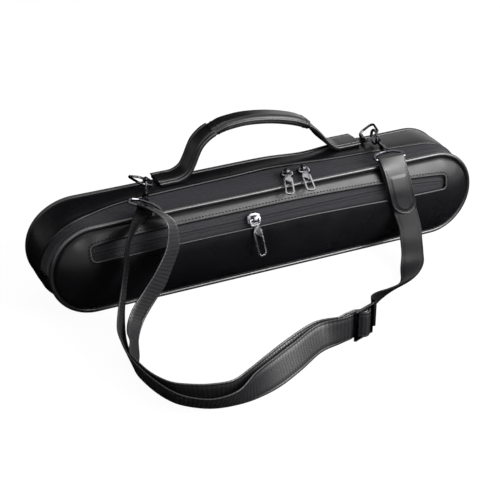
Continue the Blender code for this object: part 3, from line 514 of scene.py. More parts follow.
def unevenness(point):
    shift = noise.noise_vector(point * 11 + Vector((3.1, 7.7, 1.3))) * bag["waver"]
    return shift * clamped(point.z / 0.012)


def settle(point):
    share = clamped((-point.x - leftBulge["start"]) / (leftBulge["end"] - leftBulge["start"]))
    behind = clamped((point.y - frontPipingY) / (bag["seamY"] - frontPipingY))
    bulge = -leftBulge["reach"] * eased(share) * behind * behind
    high = clamped((point.z - topSag["fromZ"]) / topSag["overZ"])
    back = clamped((point.y - topSag["fromY"]) / topSag["overY"])
    sag = -topSag["deep"] * math.exp(-((point.x - topSag["middle"]) / topSag["width"]) ** 2) * high * back
    return point + unevenness(point) + Vector((bulge, bowShift(point), sag))


def settleInside(point):
    return point + unevenness(point)


def edgeDistance(x, z, y):
    radius = heightAt(y) / 2
    straight = bag["length"] / 2 - radius
    return radius - math.hypot(max(abs(x) - straight, 0), z - radius)


def domeDepth(share, dome):
    share = clamped(share)
    return dome * (1 - (1 - share) ** bag["domePower"])


panelRim = 2 * bag["piping"] + bag["gap"]


def frontFaceY(x, z):
    core = heightAt(frontY) / 2 - bag["piping"]
    return frontY - domeDepth((edgeDistance(x, z, frontY) - panelRim) / (core - panelRim), bag["frontDome"])


def frontOut(x, z):
    step = 0.0015
    dx = (frontFaceY(x + step, z) - frontFaceY(x - step, z)) / (2 * step)
    dz = (frontFaceY(x, z + step) - frontFaceY(x, z - step)) / (2 * step)
    return Vector((dx, -1, dz)).normalized()


# a band round the bag: its profile holds places along y and how far each lies inside the outline
def ringBand(name, profile, finish, span="whole", smooth=50, place=settle):
    rings = [bagRing(y, inset, span) for y, inset in profile]
    rows = [[place(ring[k][0]) for ring in rings] for k in range(len(rings[0]))]
    return loftSkin(name, rows, finish, closed=span == "whole", smooth=smooth)


# rear half: shell, bottom band, panel and piping
rearHalf = {"wall": 0.0022, "crown": 0.0006, "foldLift": 0.0005, "sewBehind": 0.0031}


def rearShell():
    seam = bag["seamY"]
    end = rearPipingY - bag["piping"] - bag["gap"]
    wall = rearHalf["wall"]
    crown = rearHalf["crown"]
    fold = rearHalf["foldLift"]
    profile = [(seam, wall), (seam - 0.0002, wall * 0.6), (seam, 0.0002), (seam + 0.0004, -fold * 0.8),
               (seam + 0.0010, -fold), (seam + 0.0018, -fold * 0.6), (seam + 0.0026, 0.0001),
               (seam + 0.0032, 0.00025), (seam + 0.0042, 0.0), (seam + 0.0080, -crown * 0.8),
               (seam + 0.0140, -crown), (seam + 0.0210, -crown * 0.7), (end - 0.0030, 0.0),
               (end - 0.0010, 0.0005), (end, 0.0011), (end, wall)]
    dress(ringBand("rearShell", profile, "skin"), "bag", "leather", "rear_gusset")
    ring = bagRing(seam + rearHalf["sewBehind"], 0.0, "upper")
    places = walkStitches([(settle(p + o * 0.00005), o) for p, o in ring], 0.0024, 0.0009)
    dress(sewLine("seamStitches", places, "thread"), "bag", "leather")
    start = frontPipingY + bag["piping"] + bag["gap"]
    profile = [(start, wall), (start, 0.0010), (start + 0.0008, 0.0004), (start + 0.0025, 0.0),
               (-0.0150, 0.0), (seam - bag["gap"] - 0.0015, 0.0), (seam - bag["gap"], 0.0006),
               (seam - bag["gap"], wall)]
    dress(ringBand("bottomBand", profile, "skin", "lower"), "bag", "leather", "bottom_gusset")


def domedPanel(name, seamY, facing, dome):
    core = heightAt(seamY) / 2 - bag["piping"]
    shares = [(s / 30) ** 1.7 for s in range(31)]
    outer = []
    inner = []
    for share in shares:
        inset = panelRim + (core - panelRim) * share
        tucked = max(0.0, 1 - (inset - panelRim) / bag["tuckWidth"])
        depth = domeDepth(share, dome) - bag["tuck"] * tucked * tucked
        ring = [p for p, _ in bagRing(seamY, inset)]
        outer.append([settle(Vector((p.x, seamY + facing * depth, p.z))) for p in ring])
        inner.append([settle(Vector((p.x, seamY + facing * (depth - bag["wall"]), p.z))) for p in ring])
    ring = [p for p, _ in bagRing(seamY, panelRim - 0.0006)]
    tuck = [settle(Vector((p.x, seamY - facing * bag["wall"] * 0.5, p.z))) for p in ring]
    return loftSkin(name, inner[::-1] + [tuck] + outer, "skin")


def pipingTube(name, y, body, node, finish="welt"):
    path = [settle(p) for p, _ in bagRing(y, bag["pipingShown"] - bag["pipingOut"])]
    rows = tubeRows(path, bag["pipingShown"], 16, True, Vector((0, 1, 0)))
    dress(loftSkin(name, rows, finish, closed=True), body, "piping_leather", node)


rearShell()
dress(domedPanel("rearPanel", rearY, 1, bag["rearDome"]), "bag", "leather", "rear_panel")
pipingTube("rearPiping", rearPipingY, "bag", "rear_piping", "lip")
print("rear half made")

# zipper of the bag: ribbed tape and coil on each half
mainZip = {"ribPitch": 0.0027, "rib": 0.00038, "level": 0.0010, "thick": 0.0012, "meet": 0.00008,
           "wire": 0.00038, "coilPitch": 0.0014, "coilStart": 0.0010, "coilWide": 0.0013, "coilHigh": 0.00040,
           "ribsEnd": -0.0176, "stripLevel": 0.0006, "step": 0.00025, "fineRib": 0.00007, "finePitch": 0.0009}
# creases of the band, each with its place, width and depth: at the seam, the coil, the strip and the piping
creases = ((bag["seamY"] - 0.0004, 0.0006, 0.0012), (bag["zipY"], 0.00022, 0.0005),
           (mainZip["ribsEnd"], 0.00035, 0.0007), (frontPipingY + bag["piping"], 0.0014, 0.0018))


# depth of the zipper band below the bag's outline: broad ribs, then a plain strip towards the piping
def bandLevel(y):
    ribs = clamped((y - mainZip["ribsEnd"]) / 0.0008)
    turn = 2 * math.pi * (y - bag["zipY"] - mainZip["ribPitch"] / 2) / mainZip["ribPitch"]
    level = mainZip["level"] - mainZip["rib"] * math.cos(turn)
    level -= mainZip["fineRib"] * math.cos(2 * math.pi * y / mainZip["finePitch"])
    level = ribs * level + (1 - ribs) * mainZip["stripLevel"]
    for place, width, depth in creases:
        level += depth * math.exp(-((y - place) / width) ** 2)
    return level


def zipTape(name, edgeY, coilY, body, node):
    steps = int(abs(edgeY - coilY) / mainZip["step"])
    across = [coilY + (edgeY - coilY) * k / steps for k in range(steps + 1)]
    profile = [(y, bandLevel(y)) for y in across]
    low = [(y, level + mainZip["thick"]) for y, level in profile[::-6]]
    if low[-1][0] != profile[0][0]:
        low.append((profile[0][0], profile[0][1] + mainZip["thick"]))
    dress(ringBand(name, profile + low, "tape", "upper", 70), body, "zip_tape", node)


def coilRow(name, coilY, toward, body):
    places = walkStitches(bagRing(coilY, 0.0, "upper"), mainZip["coilPitch"], 0.0)
    spine = []
    deep = mainZip["level"] + mainZip["thick"] + mainZip["wire"] + mainZip["coilHigh"]
    for start, end, out in places:
        for eighth in range(8):
            angle = 2 * math.pi * eighth / 8
            y = toward * mainZip["coilWide"] * (1 - math.cos(angle))
            sunk = out * (deep + mainZip["coilHigh"] * math.sin(angle))
            spine.append(settle(start.lerp(end, eighth / 8) + Vector((0, y, 0)) - sunk))
    dress(loftSkin(name, tubeRows(spine, mainZip["wire"], 5), "coil"), body, "zip_tape")


middleY = bag["zipY"]
rearEdge = bag["seamY"] - bag["gap"]
frontEdge = frontPipingY + bag["piping"] + bag["gap"]
zipTape("rearTape", rearEdge, middleY + mainZip["meet"], "bag", "rear_zip_tape")
zipTape("frontTape", frontEdge, middleY - mainZip["meet"], "lid", "front_zip_tape")
coilRow("rearCoil", middleY + mainZip["coilStart"], 1, "bag")
coilRow("frontCoil", middleY - mainZip["coilStart"], -1, "lid")
print("zipper made")

# lid: domed panel with the pocket window and its zipper
pocket = {"low": 0.05695, "high": 0.07345, "endHigh": 0.0712, "half": 0.1805, "corner": 0.0048, "step": 0.004,
          "lip": 0.00085, "sewOut": 0.0021, "stitch": 0.0023, "stitchGap": 0.0010, "sink": 0.0028,
          "driftStart": 0.0, "driftSpan": 0.180, "drift": 0.0038, "easeShare": 0.72}
pocketTape = {"outside": 0.0028, "narrow": 0.0022, "drop": 0.0011, "meet": 0.00008, "thick": 0.0008,
              "rib": 0.00013, "ribPitch": 0.0011, "ribsEnd": 0.0062, "coilHigh": 0.0006, "coilPlace": 0.0013,
              "coilWidth": 0.0012, "slot": 0.0005}


def windowDrift(x):
    share = clamped((x - pocket["driftStart"]) / pocket["driftSpan"])
    return pocket["drift"] * eased(share)


def endEase(x, half):
    start = pocket["easeShare"]
    return clamped((abs(x) - half * start) / (half * (1 - start)))


def windowPath(grow=0.0):
    low, high, endHigh, half, corner = (pocket[k] for k in ("low", "high", "endHigh", "half", "corner"))
    straight = half - corner
    reach = corner + grow
    points = []

    def bend(side, level, start, first):
        for a in range(first, 6):
            angle = math.radians(start + 15 * a)
            points.append((side * straight + reach * math.cos(angle), level + reach * math.sin(angle)))

    count = int(2 * straight / pocket["step"])
    for s in range(count + 1):
        points.append((-straight + 2 * straight * s / count, low - grow))
    bend(1, low + corner, -90, 1)
    bend(1, endHigh - corner, 0, 0)
    for s in range(count + 1):
        x = straight - 2 * straight * s / count
        points.append((x, high + (endHigh - high) * endEase(x, straight) ** 2 + grow))
    bend(-1, endHigh - corner, 90, 1)
    bend(-1, low + corner, 180, 0)
    return [(x, z - windowDrift(x)) for x, z in points]


def onFront(x, z, lift=0.0):
    return settle(Vector((x, frontFaceY(x, z), z))) + frontOut(x, z) * lift


def frontPanel():
    panel = domedPanel("frontPanel", frontY, -1, bag["frontDome"])
    walls = [[Vector((x, y, z)) for x, z in windowPath()] for y in (frontY - 0.03, 0.0)]
    cutter = loftSkin("windowCutter", walls, "skin")
    cut = panel.modifiers.new("window", "BOOLEAN")
    cut.object = cutter
    cut.operation = "DIFFERENCE"
    cut.solver = "EXACT"
    applyAll(panel)
    bpy.data.objects.remove(cutter, do_unlink=True)
    panel.data.shade_smooth()
    panel.data.set_sharp_from_angle(angle=math.radians(50))
    dress(panel, "lid", "leather", "front_panel")
    rows = []
    lip = pocket["lip"]
    angles = [2 * math.pi * s / 10 for s in range(10)]
    for (x, z), (gx, gz) in zip(windowPath(), windowPath(0.001)):
        way = Vector((gx - x, 0, gz - z)).normalized()
        out = frontOut(x, z)
        centre = onFront(x, z, 0.0001)
        rows.append([centre + way * (lip * 1.5 * math.cos(a)) + out * (lip * math.sin(a)) for a in angles])
    dress(loftSkin("pocketLip", rows, "lip", closed=True), "lid", "leather")
    path = windowPath(pocket["sewOut"])
    path.append(path[0])
    line = [(onFront(x, z, 0.0001), frontOut(x, z)) for x, z in path]
    places = walkStitches(line, pocket["stitch"], pocket["stitchGap"])
    dress(sewLine("pocketStitches", places, "thread", 0.0011, 0.00044), "lid", "leather")


def pocketHalf(name, side, node):
    middle = (pocket["low"] + pocket["high"]) / 2
    outside = pocketTape["outside"]
    far = pocket["high"] + outside if side > 0 else pocket["low"] - outside
    narrow = pocketTape["narrow"] if side > 0 else 0
    meet = side * pocketTape["meet"]
    rows = []
    count = 90
    half = pocket["half"] - 0.0004
    for s in range(count + 1):
        x = -half + 2 * half * s / count
        ease = endEase(x, half)
        centre = middle - pocketTape["drop"] * ease * ease - windowDrift(x) * ease
        edge = far - narrow * ease * ease - windowDrift(x)
        front = []
        back = []
        steps = 26
        for k in range(steps + 1):
            z = centre + meet + (edge - centre - meet) * k / steps
            away = abs(z - centre)
            lift = 0.0
            if away < pocketTape["ribsEnd"]:
                lift = pocketTape["rib"] * math.cos(2 * math.pi * away / pocketTape["ribPitch"])
            offset = (away - pocketTape["coilPlace"]) / pocketTape["coilWidth"]
            lift += pocketTape["coilHigh"] * math.exp(-offset ** 2)
            lift -= pocketTape["coilHigh"] * max(0.0, 1 - away / pocketTape["slot"]) ** 2
            out = frontOut(x, z)
            face = onFront(x, z)
            front.append(face - out * (pocket["sink"] - lift))
            back.append(face - out * (pocket["sink"] + pocketTape["thick"]))
        rows.append(front + back[::-3])
    dress(loftSkin(name, rows, "tape", smooth=70), "lid", "zip_tape", node)


frontPanel()
pipingTube("frontPiping", frontPipingY, "lid", "front_piping")
pocketHalf("pocketTapeLow", -1, "pocket_zip_lower")
pocketHalf("pocketTapeHigh", 1, "pocket_zip_upper")
print("lid made")

# inside: lining and pads
inside = {"round": 0.0016, "quilt": 0.00018, "fill": 0.8}
slabs = {
    "lidLining": {"low": -0.0270, "high": -0.0230, "inset": 0.0064, "body": "lid", "slot": "foam",
                  "node": "front_pad"},
    "pocketLining": {"low": -0.0283, "high": -0.0273, "inset": 0.0044, "body": "lid", "slot": "lining",
                     "node": "pocket_back"},
    "backLining": {"low": 0.0243, "high": 0.0283, "inset": 0.0045, "body": "bag", "slot": "foam",
                   "node": "rear_back_pad"},
}
sidePad = {"low": 0.0018, "high": 0.0238, "inset": 0.0025, "thick": 0.0040}


def slab(name, low, high, inset, body, slot, node):
    core = heightAt(low) / 2 - 0.003
    near = []
    far = []
    for share in (0, 0.012, 0.03, 0.06, 0.12, 0.22, 0.36, 0.52, 0.7, 0.86, 1):
        ring = [p for p, _ in bagRing(low, inset + (core - inset) * share)]
        curve = inside["round"] * (1 - min(share / 0.06, 1)) ** 2
        curve += inside["quilt"] * (0.5 - 0.5 * math.cos(share * 4 * math.pi))
        near.append([settleInside(Vector((p.x, low + curve, p.z))) for p in ring])
        far.append([settleInside(Vector((p.x, high - curve, p.z))) for p in ring])
    pad = loftSkin(name, near[::-1] + far, "lining")
    dress(pad, body, slot, node)


def ringPad():
    low, high, inset = sidePad["low"], sidePad["high"], sidePad["inset"]
    deep = inset + sidePad["thick"]
    profile = [(low, inset + 0.0008), (low, deep - 0.0012), (low + 0.0008, deep - 0.0003),
               (low + 0.003, deep + 0.0002), ((low + high) / 2, deep + 0.0006), (high - 0.003, deep + 0.0002),
               (high - 0.0008, deep - 0.0003), (high, deep - 0.0012), (high, inset + 0.0008),
               (high - 0.0008, inset), (low + 0.0008, inset)]
    pad = ringBand("sideLining", profile, "lining", place=settleInside)
    dress(pad, "bag", "foam", "rear_side_pad")


for name, values in slabs.items():
    slab(name, **values)
ringPad()


# cloth between the halves along the lower side, which on the bag folds when the lid opens; here it is built
# as a fixed band
def endFold():
    profile = ((-0.0140, 0.0024), (-0.0175, 0.0025), (-0.0210, 0.0026), (-0.0245, 0.0027), (-0.0278, 0.0030),
               (-0.0278, 0.0036), (-0.0245, 0.0033), (-0.0210, 0.0032), (-0.0175, 0.0031), (-0.0140, 0.0030))
    web = ringBand("endFold", profile, "lining", "lower")
    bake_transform(web)


endFold()
print("inside made")

# carrying handle: shares give its line from foot to foot, as parts of reach and rise
handle = {"centreX": 0.010, "y": 0.0230, "width": 0.0250, "thick": 0.0038, "reach": 0.104, "rise": 0.0444,
          "gripReach": 0.0500, "gripThick": 0.0098, "endRise": 0.0006,
          "groove": 0.0029, "stitch": 0.0022, "stitchGap": 0.0010,
          "shares": ((-1, 0), (-0.90, 0), (-0.80, 0.010), (-0.72, 0.11), (-0.672, 0.30), (-0.634, 0.505),
                     (-0.591, 0.68), (-0.507, 0.845), (-0.40, 0.945), (-0.32, 0.990), (-0.147, 1.015),
                     (0.06, 0.965), (0.241, 0.87), (0.384, 0.755), (0.493, 0.61), (0.58, 0.41),
                     (0.666, 0.17), (0.755, 0.014), (0.85, 0), (1, 0)),
          "gripSection": ((0, 4.5), (4.8, 4.5), (7.0, 3.9), (8.6, 2.4), (9.6, 0.3), (10.0, -1.8), (9.5, -3.2),
                          (8.0, -4.2), (5.0, -4.6), (0, -4.7))}  # half of the grip's section, in millimetres


def gripRing():
    half = [(a * 0.001, b * 0.001) for a, b in smoothRows(handle["gripSection"], 3)]
    return half + [(-a, b) for a, b in half[-2:0:-1]]


def handleLine(steps):
    rows = [(a * handle["reach"], b * handle["rise"]) for a, b in handle["shares"]]
    level = heightAt(handle["y"] + handle["width"] / 2) + bag["gap"] + handle["thick"] / 2
    points = [Vector((handle["centreX"] + x, handle["y"], level + z)) for x, z in smoothRows(rows, steps)]
    normals = []
    for k in range(len(points)):
        along = (points[min(k + 1, len(points) - 1)] - points[max(k - 1, 0)]).normalized()
        normals.append(Vector((-along.z, 0, along.x)))
    return points, normals


def makeHandle():
    points, normals = handleLine(8)
    half = handle["width"] / 2
    t = handle["thick"] / 2
    side = [(half, -0.35), (half, 0.35), (half - 0.0004, 0.8), (half - 0.0010, 1), (half - 0.0024, 0.98),
            (half - handle["groove"], 0.72), (half - 0.0034, 0.98), (half * 0.45, 1.22)]
    low = [(half - 0.0004, -0.8), (half - 0.0010, -1)]
    section = [(-a, b) for a, b in side] + [(0, 1.28)] + side[::-1]
    section += low + [(0, -1)] + [(-a, b) for a, b in low[::-1]]
    rows = []
    grips = []
    for k, (p, n) in enumerate(zip(points, normals)):
        away = abs(p.x - handle["centreX"])
        narrow = 0.80 if away < handle["gripReach"] - 0.002 else 1.0
        endward = min(k, len(points) - 1 - k)
        narrow *= {0: 0.86, 1: 0.95, 2: 0.985}.get(endward, 1.0)
        rows.append([p + Vector((0, a * narrow, 0)) + n * (t * b) for a, b in section])
        if away <= handle["gripReach"]:
            grips.append((p, n))
    dress(loftSkin("handleStrap", rows, "handle"), "bag", "leather", "handle_strap")
    leftEnd = handle["centreX"] - handle["gripReach"] + 0.004
    rightEnd = handle["centreX"] + handle["gripReach"] - 0.004
    legs = {"Left": [k for k, p in enumerate(points) if p.x < leftEnd],
            "Right": [k for k, p in enumerate(points) if p.x > rightEnd]}
    for face, side in (("Front", -1), ("Rear", 1)):
        for tag, inward, lift, thick in (("Edge", 0.0004, 0.45, 0.00085), ("Welt", 0.0036, 0.92, 0.00055)):
            for leg, chosen in legs.items():
                shift = Vector((0, side * (half - inward), 0))
                path = [points[k] + shift + normals[k] * (t * lift) for k in chosen]
                line = loftSkin("handle" + tag + leg + face, tubeRows(path, thick, 8), "welt")
                dress(line, "bag", "leather")
    makeGrip(grips)
    places = []
    for y in (handle["groove"] - half, half - handle["groove"]):
        path = [(p + Vector((0, y, 0)) + n * (t * 0.78), n) for p, n in zip(points, normals)][2:]
        for way in (-1, 1):
            leg = [(p, n) for p, n in path if (p.x - handle["centreX"]) * way > handle["gripReach"]]
            places += walkStitches(leg, handle["stitch"], handle["stitchGap"])
    dress(sewLine("handleStitches", places, "thread"), "bag", "leather")


def makeGrip(grips):
    rows = []
    last = len(grips) - 1
    for k, (p, n) in enumerate(grips):
        end = min(k, last - k) / last
        swell = 1.0 - 0.10 * math.exp(-(end / 0.10) ** 2) + 0.05 * math.exp(-((end - 0.055) / 0.012) ** 2)
        if end < 0.001:
            swell *= 0.97
        rows.append([p + Vector((0, a * swell, 0)) + n * (b * swell) for a, b in gripRing()])

    def roundEnd(row, centre, beyond):
        outward = (centre - beyond).normalized() * handle["endRise"]
        return [[centre + (q - centre) * share + outward * push for q in row]
                for share, push in ((0.55, -2.5), (0.86, 0.3), (0.96, 0.9))]

    lead = roundEnd(rows[0], grips[0][0], grips[1][0])
    tail = roundEnd(rows[-1], grips[-1][0], grips[-2][0])[::-1]
    dress(loftSkin("handleGrip", lead + rows + tail, "handle"), "bag", "leather", "handle_grip")
    places = []
    for k in (3, last - 3):
        p, n = grips[k]
        around = [Vector((0, a, 0)) + n * b for a, b in gripRing()]
        places += walkStitches([(p + shift, shift.normalized()) for shift in around], 0.0022, 0.0009)
    below = handle["gripThick"] / 2 - 0.0001
    for sway in (-0.0012, 0.0012):
        line = [(p - n * below + Vector((0, sway, 0)), -n) for p, n in grips[3:-3]]
        places += walkStitches(line, 0.0022, 0.0009)
    dress(sewLine("gripStitches", places, "thread"), "bag", "leather")


makeHandle()
print("handle made")

# shoulder strap: each row holds a point, in tenths of a metre, and the way across the webbing
strap = {"width": 0.0250, "thick": 0.0014, "pitch": 0.0100, "eyeWire": 0.0013, "unit": 0.1, "fold": 0.0022,
         "leftEye": (-0.12488, -0.02912, 0.09291), "leftAlong": (-0.40439, -0.91259, -0.06036),
         "leftBar": (-0.85943, 0.35661, 0.36635), "rightEye": (0.12233, -0.03201, 0.09287),
         "rightBar": (0.99339, -0.11282, 0.0212)}
floorShares = ((-0.04, -1.712, 0.012, 0, 0, 1), (-0.25, -1.755, 0.006, 0, -0.06, 1),
               (-0.54, -1.93, 0.006, -0.10, -0.16, 1), (-0.79, -2.06, 0.006, -0.14, -0.24, 1),
               (-1.02, -2.13, 0.006, -0.10, -0.32, 1), (-1.25, -2.14, 0.006, -0.02, -0.36, 1),
               (-1.43, -2.10, 0.006, -0.14, -0.34, 1), (-1.57, -2.01, 0.006, -0.26, -0.28, 1),
               (-1.67, -1.90, 0.006, -0.32, -0.20, 1), (-1.74, -1.73, 0.006, -0.36, -0.12, 1),
               (-1.78, -1.53, 0.006, -0.36, -0.10, 1), (-1.79, -1.36, 0.010, -0.36, -0.14, 1))
riseShares = ((-1.81, -1.20, 0.150, -0.42, -0.30, 0.85), (-1.78, -1.02, 0.190, -0.46, -0.48, 0.74),
              (-1.71, -0.84, 0.270, -0.46, -0.66, 0.60), (-1.63, -0.70, 0.400, -0.44, -0.74, 0.52),
              (-1.56, -0.61, 0.585, -0.43, -0.75, 0.49), (-1.538, -0.58, 0.713, -0.40, -0.76, 0.51),
              (-1.491, -0.54, 0.820, -0.40, -0.74, 0.54), (-1.410, -0.46, 0.885, -0.58, -0.58, 0.56),
              (-1.340, -0.395, 0.905, -0.76, -0.26, 0.50))
fallShares = ((-1.735, -1.20, 0.135, -0.40, -0.26, 0.88), (-1.680, -1.02, 0.140, -0.55, -0.42, 0.72),
              (-1.595, -0.86, 0.155, -0.68, -0.45, 0.58), (-1.508, -0.775, 0.215, -0.71, -0.40, 0.58),
              (-1.392, -0.71, 0.300, -0.72, -0.41, 0.56), (-1.300, -0.68, 0.390, -0.68, -0.42, 0.60),
              (-1.225, -0.65, 0.490, -0.70, -0.50, 0.51), (-1.135, -0.605, 0.620, -0.74, -0.57, 0.35),
              (-1.100, -0.570, 0.715, -0.70, -0.62, 0.35), (-1.095, -0.535, 0.830, -0.60, -0.60, 0.45),
              (-1.135, -0.490, 0.905, -0.68, -0.45, 0.48), (-1.215, -0.415, 0.955, -0.80, -0.20, 0.48))
# how far the two plies lean on the floor, and how far apart they lie
frontLean = (0.06, 0.44, 0.66, 0.66, 0.40, -0.14, -0.42, -0.47, -0.40, -0.23, -0.10, 0)
rearLean = (0.06, 0.48, 0.70, 0.72, 0.55, 0.26, 0.20, 0.14, 0.05, 0, 0, 0)
plyGaps = (0.0025, 0.0045, 0.0070, 0.0065, 0.0045, 0.0030, 0.0035, 0.0035, 0.0030, 0.0025, 0.0025, 0.0025)
twist = ((0.405, -1.460, 0.125, 0.20, 0.28, -0.94), (0.500, -1.335, 0.106, 0.42, 0.45, -0.79),
         (0.615, -1.260, 0.093, 0.52, 0.53, -0.67), (0.760, -1.200, 0.080, 0.57, 0.62, -0.54),
         (0.919, -1.145, 0.075, 0.727, 0.563, -0.394), (1.032, -1.064, 0.072, 0.915, 0.32, -0.246))
rightHang = ((1.17, -0.89, 0.070, 0.98, -0.04, -0.06), (1.231, -0.79, 0.135, 0.98, 0.02, -0.14),
             (1.290, -0.665, 0.205, 0.98, 0.02, -0.14), (1.318, -0.585, 0.295, 0.98, 0.02, -0.10))
# the end tab's line: points seen from the right eye, in tenths of a metre
tabShares = ((0.004, -0.055, -0.075), (0.02, -0.095, -0.165), (0.04, -0.125, -0.275), (0.065, -0.140, -0.385),
             (0.09, -0.152, -0.470), (0.10, -0.165, -0.525))
# the turns round the adjuster's bars, in bar pitches along and out of it
frontStart = ((2.5, -0.28), (2.0, -0.28), (1.68, -0.17), (1.54, 0.02), (1.41, 0.22), (1.25, 0.37),
              (1.0, 0.43), (0.75, 0.37), (0.59, 0.22), (0.46, 0.02), (0.32, -0.17), (0, -0.28), (-0.5, -0.28))
backStart = ((-1.6, -0.80), (-0.6, -0.79), (-0.2, -0.72), (0.30, -0.66), (0.62, -0.45), (0.90, -0.26),
             (1.17, -0.17), (1.24, 0), (1.17, 0.17), (1.0, 0.235), (0.80, 0.14), (0.69, -0.10),
             (0.50, -0.32), (0.20, -0.49), (-0.2, -0.54), (-0.6, -0.54))
adjusterBase = Vector((0.11, -1.71, 0.146)) * strap["unit"]
adjusterAlong = Vector((0.94, 0.34, 0)).normalized()
adjusterOut = Vector((0.34, -0.94, 0)).normalized()


def fullRows(shares):
    return [(Vector(row[:3]) * strap["unit"], Vector(row[3:])) for row in shares]


def edgeRows(shares):
    rows = []
    for row in shares:
        wide = Vector(row[3:]).normalized()
        rows.append((Vector(row[:3]) * strap["unit"] + wide * (strap["width"] / 2), wide))
    return rows


def adjusterRows(places):
    along = adjusterAlong * strap["pitch"]
    out = adjusterOut * strap["pitch"]
    return [(adjusterBase + along * a + out * b, Vector((0, 0, 1))) for a, b in places]


def leaningRows(shares, lean):
    return edgeRows([row[:4] + (row[4] + extra,) + row[5:] for row, extra in zip(shares, lean)])


def shiftedRows(rows, offsets):
    out = []
    for k, (point, wide) in enumerate(rows):
        along = (rows[min(k + 1, len(rows) - 1)][0] - rows[max(k - 1, 0)][0]).normalized()
        face = (wide - along * wide.dot(along)).normalized().cross(along)
        out.append((point + Vector((face.x, face.y, 0)).normalized() * offsets[k], wide))
    return out


def webbingPiece(name, rows, node, gathered=(), finish="webbing"):
    full = [1.0] * (len(rows) - len(gathered)) + list(gathered)
    rows = [tuple(p) + tuple(w.normalized()) + (share,) for (p, w), share in zip(rows, full)]
    path = smoothRows(rows, 6)
    half = strap["width"] / 2
    t = strap["thick"] / 2
    side = [(half, 0.3), (half - 0.0003, 0.85), (half - 0.0008, 1), (half - 0.0019, 1), (half - 0.0023, 0.72),
            (half - 0.0027, 0.95), (half * 0.5, 1)]
    section = [(-half, -0.3)] + [(-a, b) for a, b in side] + [(0, 1)] + side[::-1]
    section += [(-a, -b) for a, b in section[1:-1]]
    rows = []
    last = len(path) - 1
    for k, row in enumerate(path):
        point = Vector(row[:3])
        along = (Vector(path[min(k + 1, last)][:3]) - Vector(path[max(k - 1, 0)][:3])).normalized()
        wide = Vector(row[3:6]).normalized()
        thick = wide.cross(along).normalized()
        fold = strap["fold"] * (1 - row[6])  # gathered webbing lies in small folds
        rows.append([point + wide * (a * row[6]) + thick * (t * b + fold * math.cos(3 * math.pi * a / half))
                     for a, b in section])
    dress(loftSkin(name, rows, finish), "strap", "webbing", node)


def makeStrap():
    eye = Vector(strap["leftEye"])
    along = Vector(strap["leftAlong"])
    bar = Vector(strap["leftBar"])
    across = along.cross(bar).normalized()
    radius = strap["eyeWire"] + bag["gap"] + strap["thick"] / 2

    def byBar(p, q):
        return eye + along * (p * radius) + across * (q * radius), bar

    front = adjusterRows(frontStart) + leaningRows(floorShares, frontLean) + fullRows(riseShares)
    front += [byBar(2.2, 1.1), byBar(0.6, 1.0), byBar(0, 1), byBar(-0.7, 0.7), byBar(-1, 0),
              byBar(-0.7, -0.7), byBar(0, -1)]
    # the rising ply takes the webbing copy with painted shade
    webbingPiece("webbingFront", front, "strap_webbing_front", finish="risingWebbingPaintedShade",
                 gathered=(0.98, 0.90, 0.78, 0.66, 0.60, 0.58, 0.56, 0.55, 0.55, 0.55, 0.55))
    inner = shiftedRows(leaningRows(floorShares, rearLean), [-gap for gap in plyGaps])
    rear = adjusterRows(backStart) + inner + fullRows(fallShares) + [byBar(2.0, -1.4), byBar(0.45, -1.05)]
    webbingPiece("webbingBack", rear, "strap_webbing_back", gathered=(0.95, 0.86, 0.72, 0.60, 0.58))
    line = [(Vector(strap["rightEye"]), Vector(strap["rightBar"]))]
    line += [(line[0][0] + Vector(row) * strap["unit"], Vector((1, 0, 0.02))) for row in tabShares]
    right = [(p, -w) for p, w in adjusterRows(((2.60, -0.28), (2.85, -0.28)))]
    right += fullRows(twist) + fullRows(rightHang) + line[6:1:-1]
    # the hanging end takes the webbing copy with painted shade
    webbingPiece("webbingRight", right, "strap_webbing_right", finish="shadedWebbing")
    return line


# leather tab on the strap's end: a loop round the eye, with a raised panel on its face
tab = {"half": 0.01275, "leather": 0.0013, "endRound": 0.0115, "panelHalf": 0.0085, "panelLift": 0.0007,
       "panelRim": 0.0007, "panelStart": 0.0035, "panelRound": 0.0085, "panelTop": 0.0195, "sewSide": 0.0102,
       "stitch": 0.0020, "stitchGap": 0.0008}


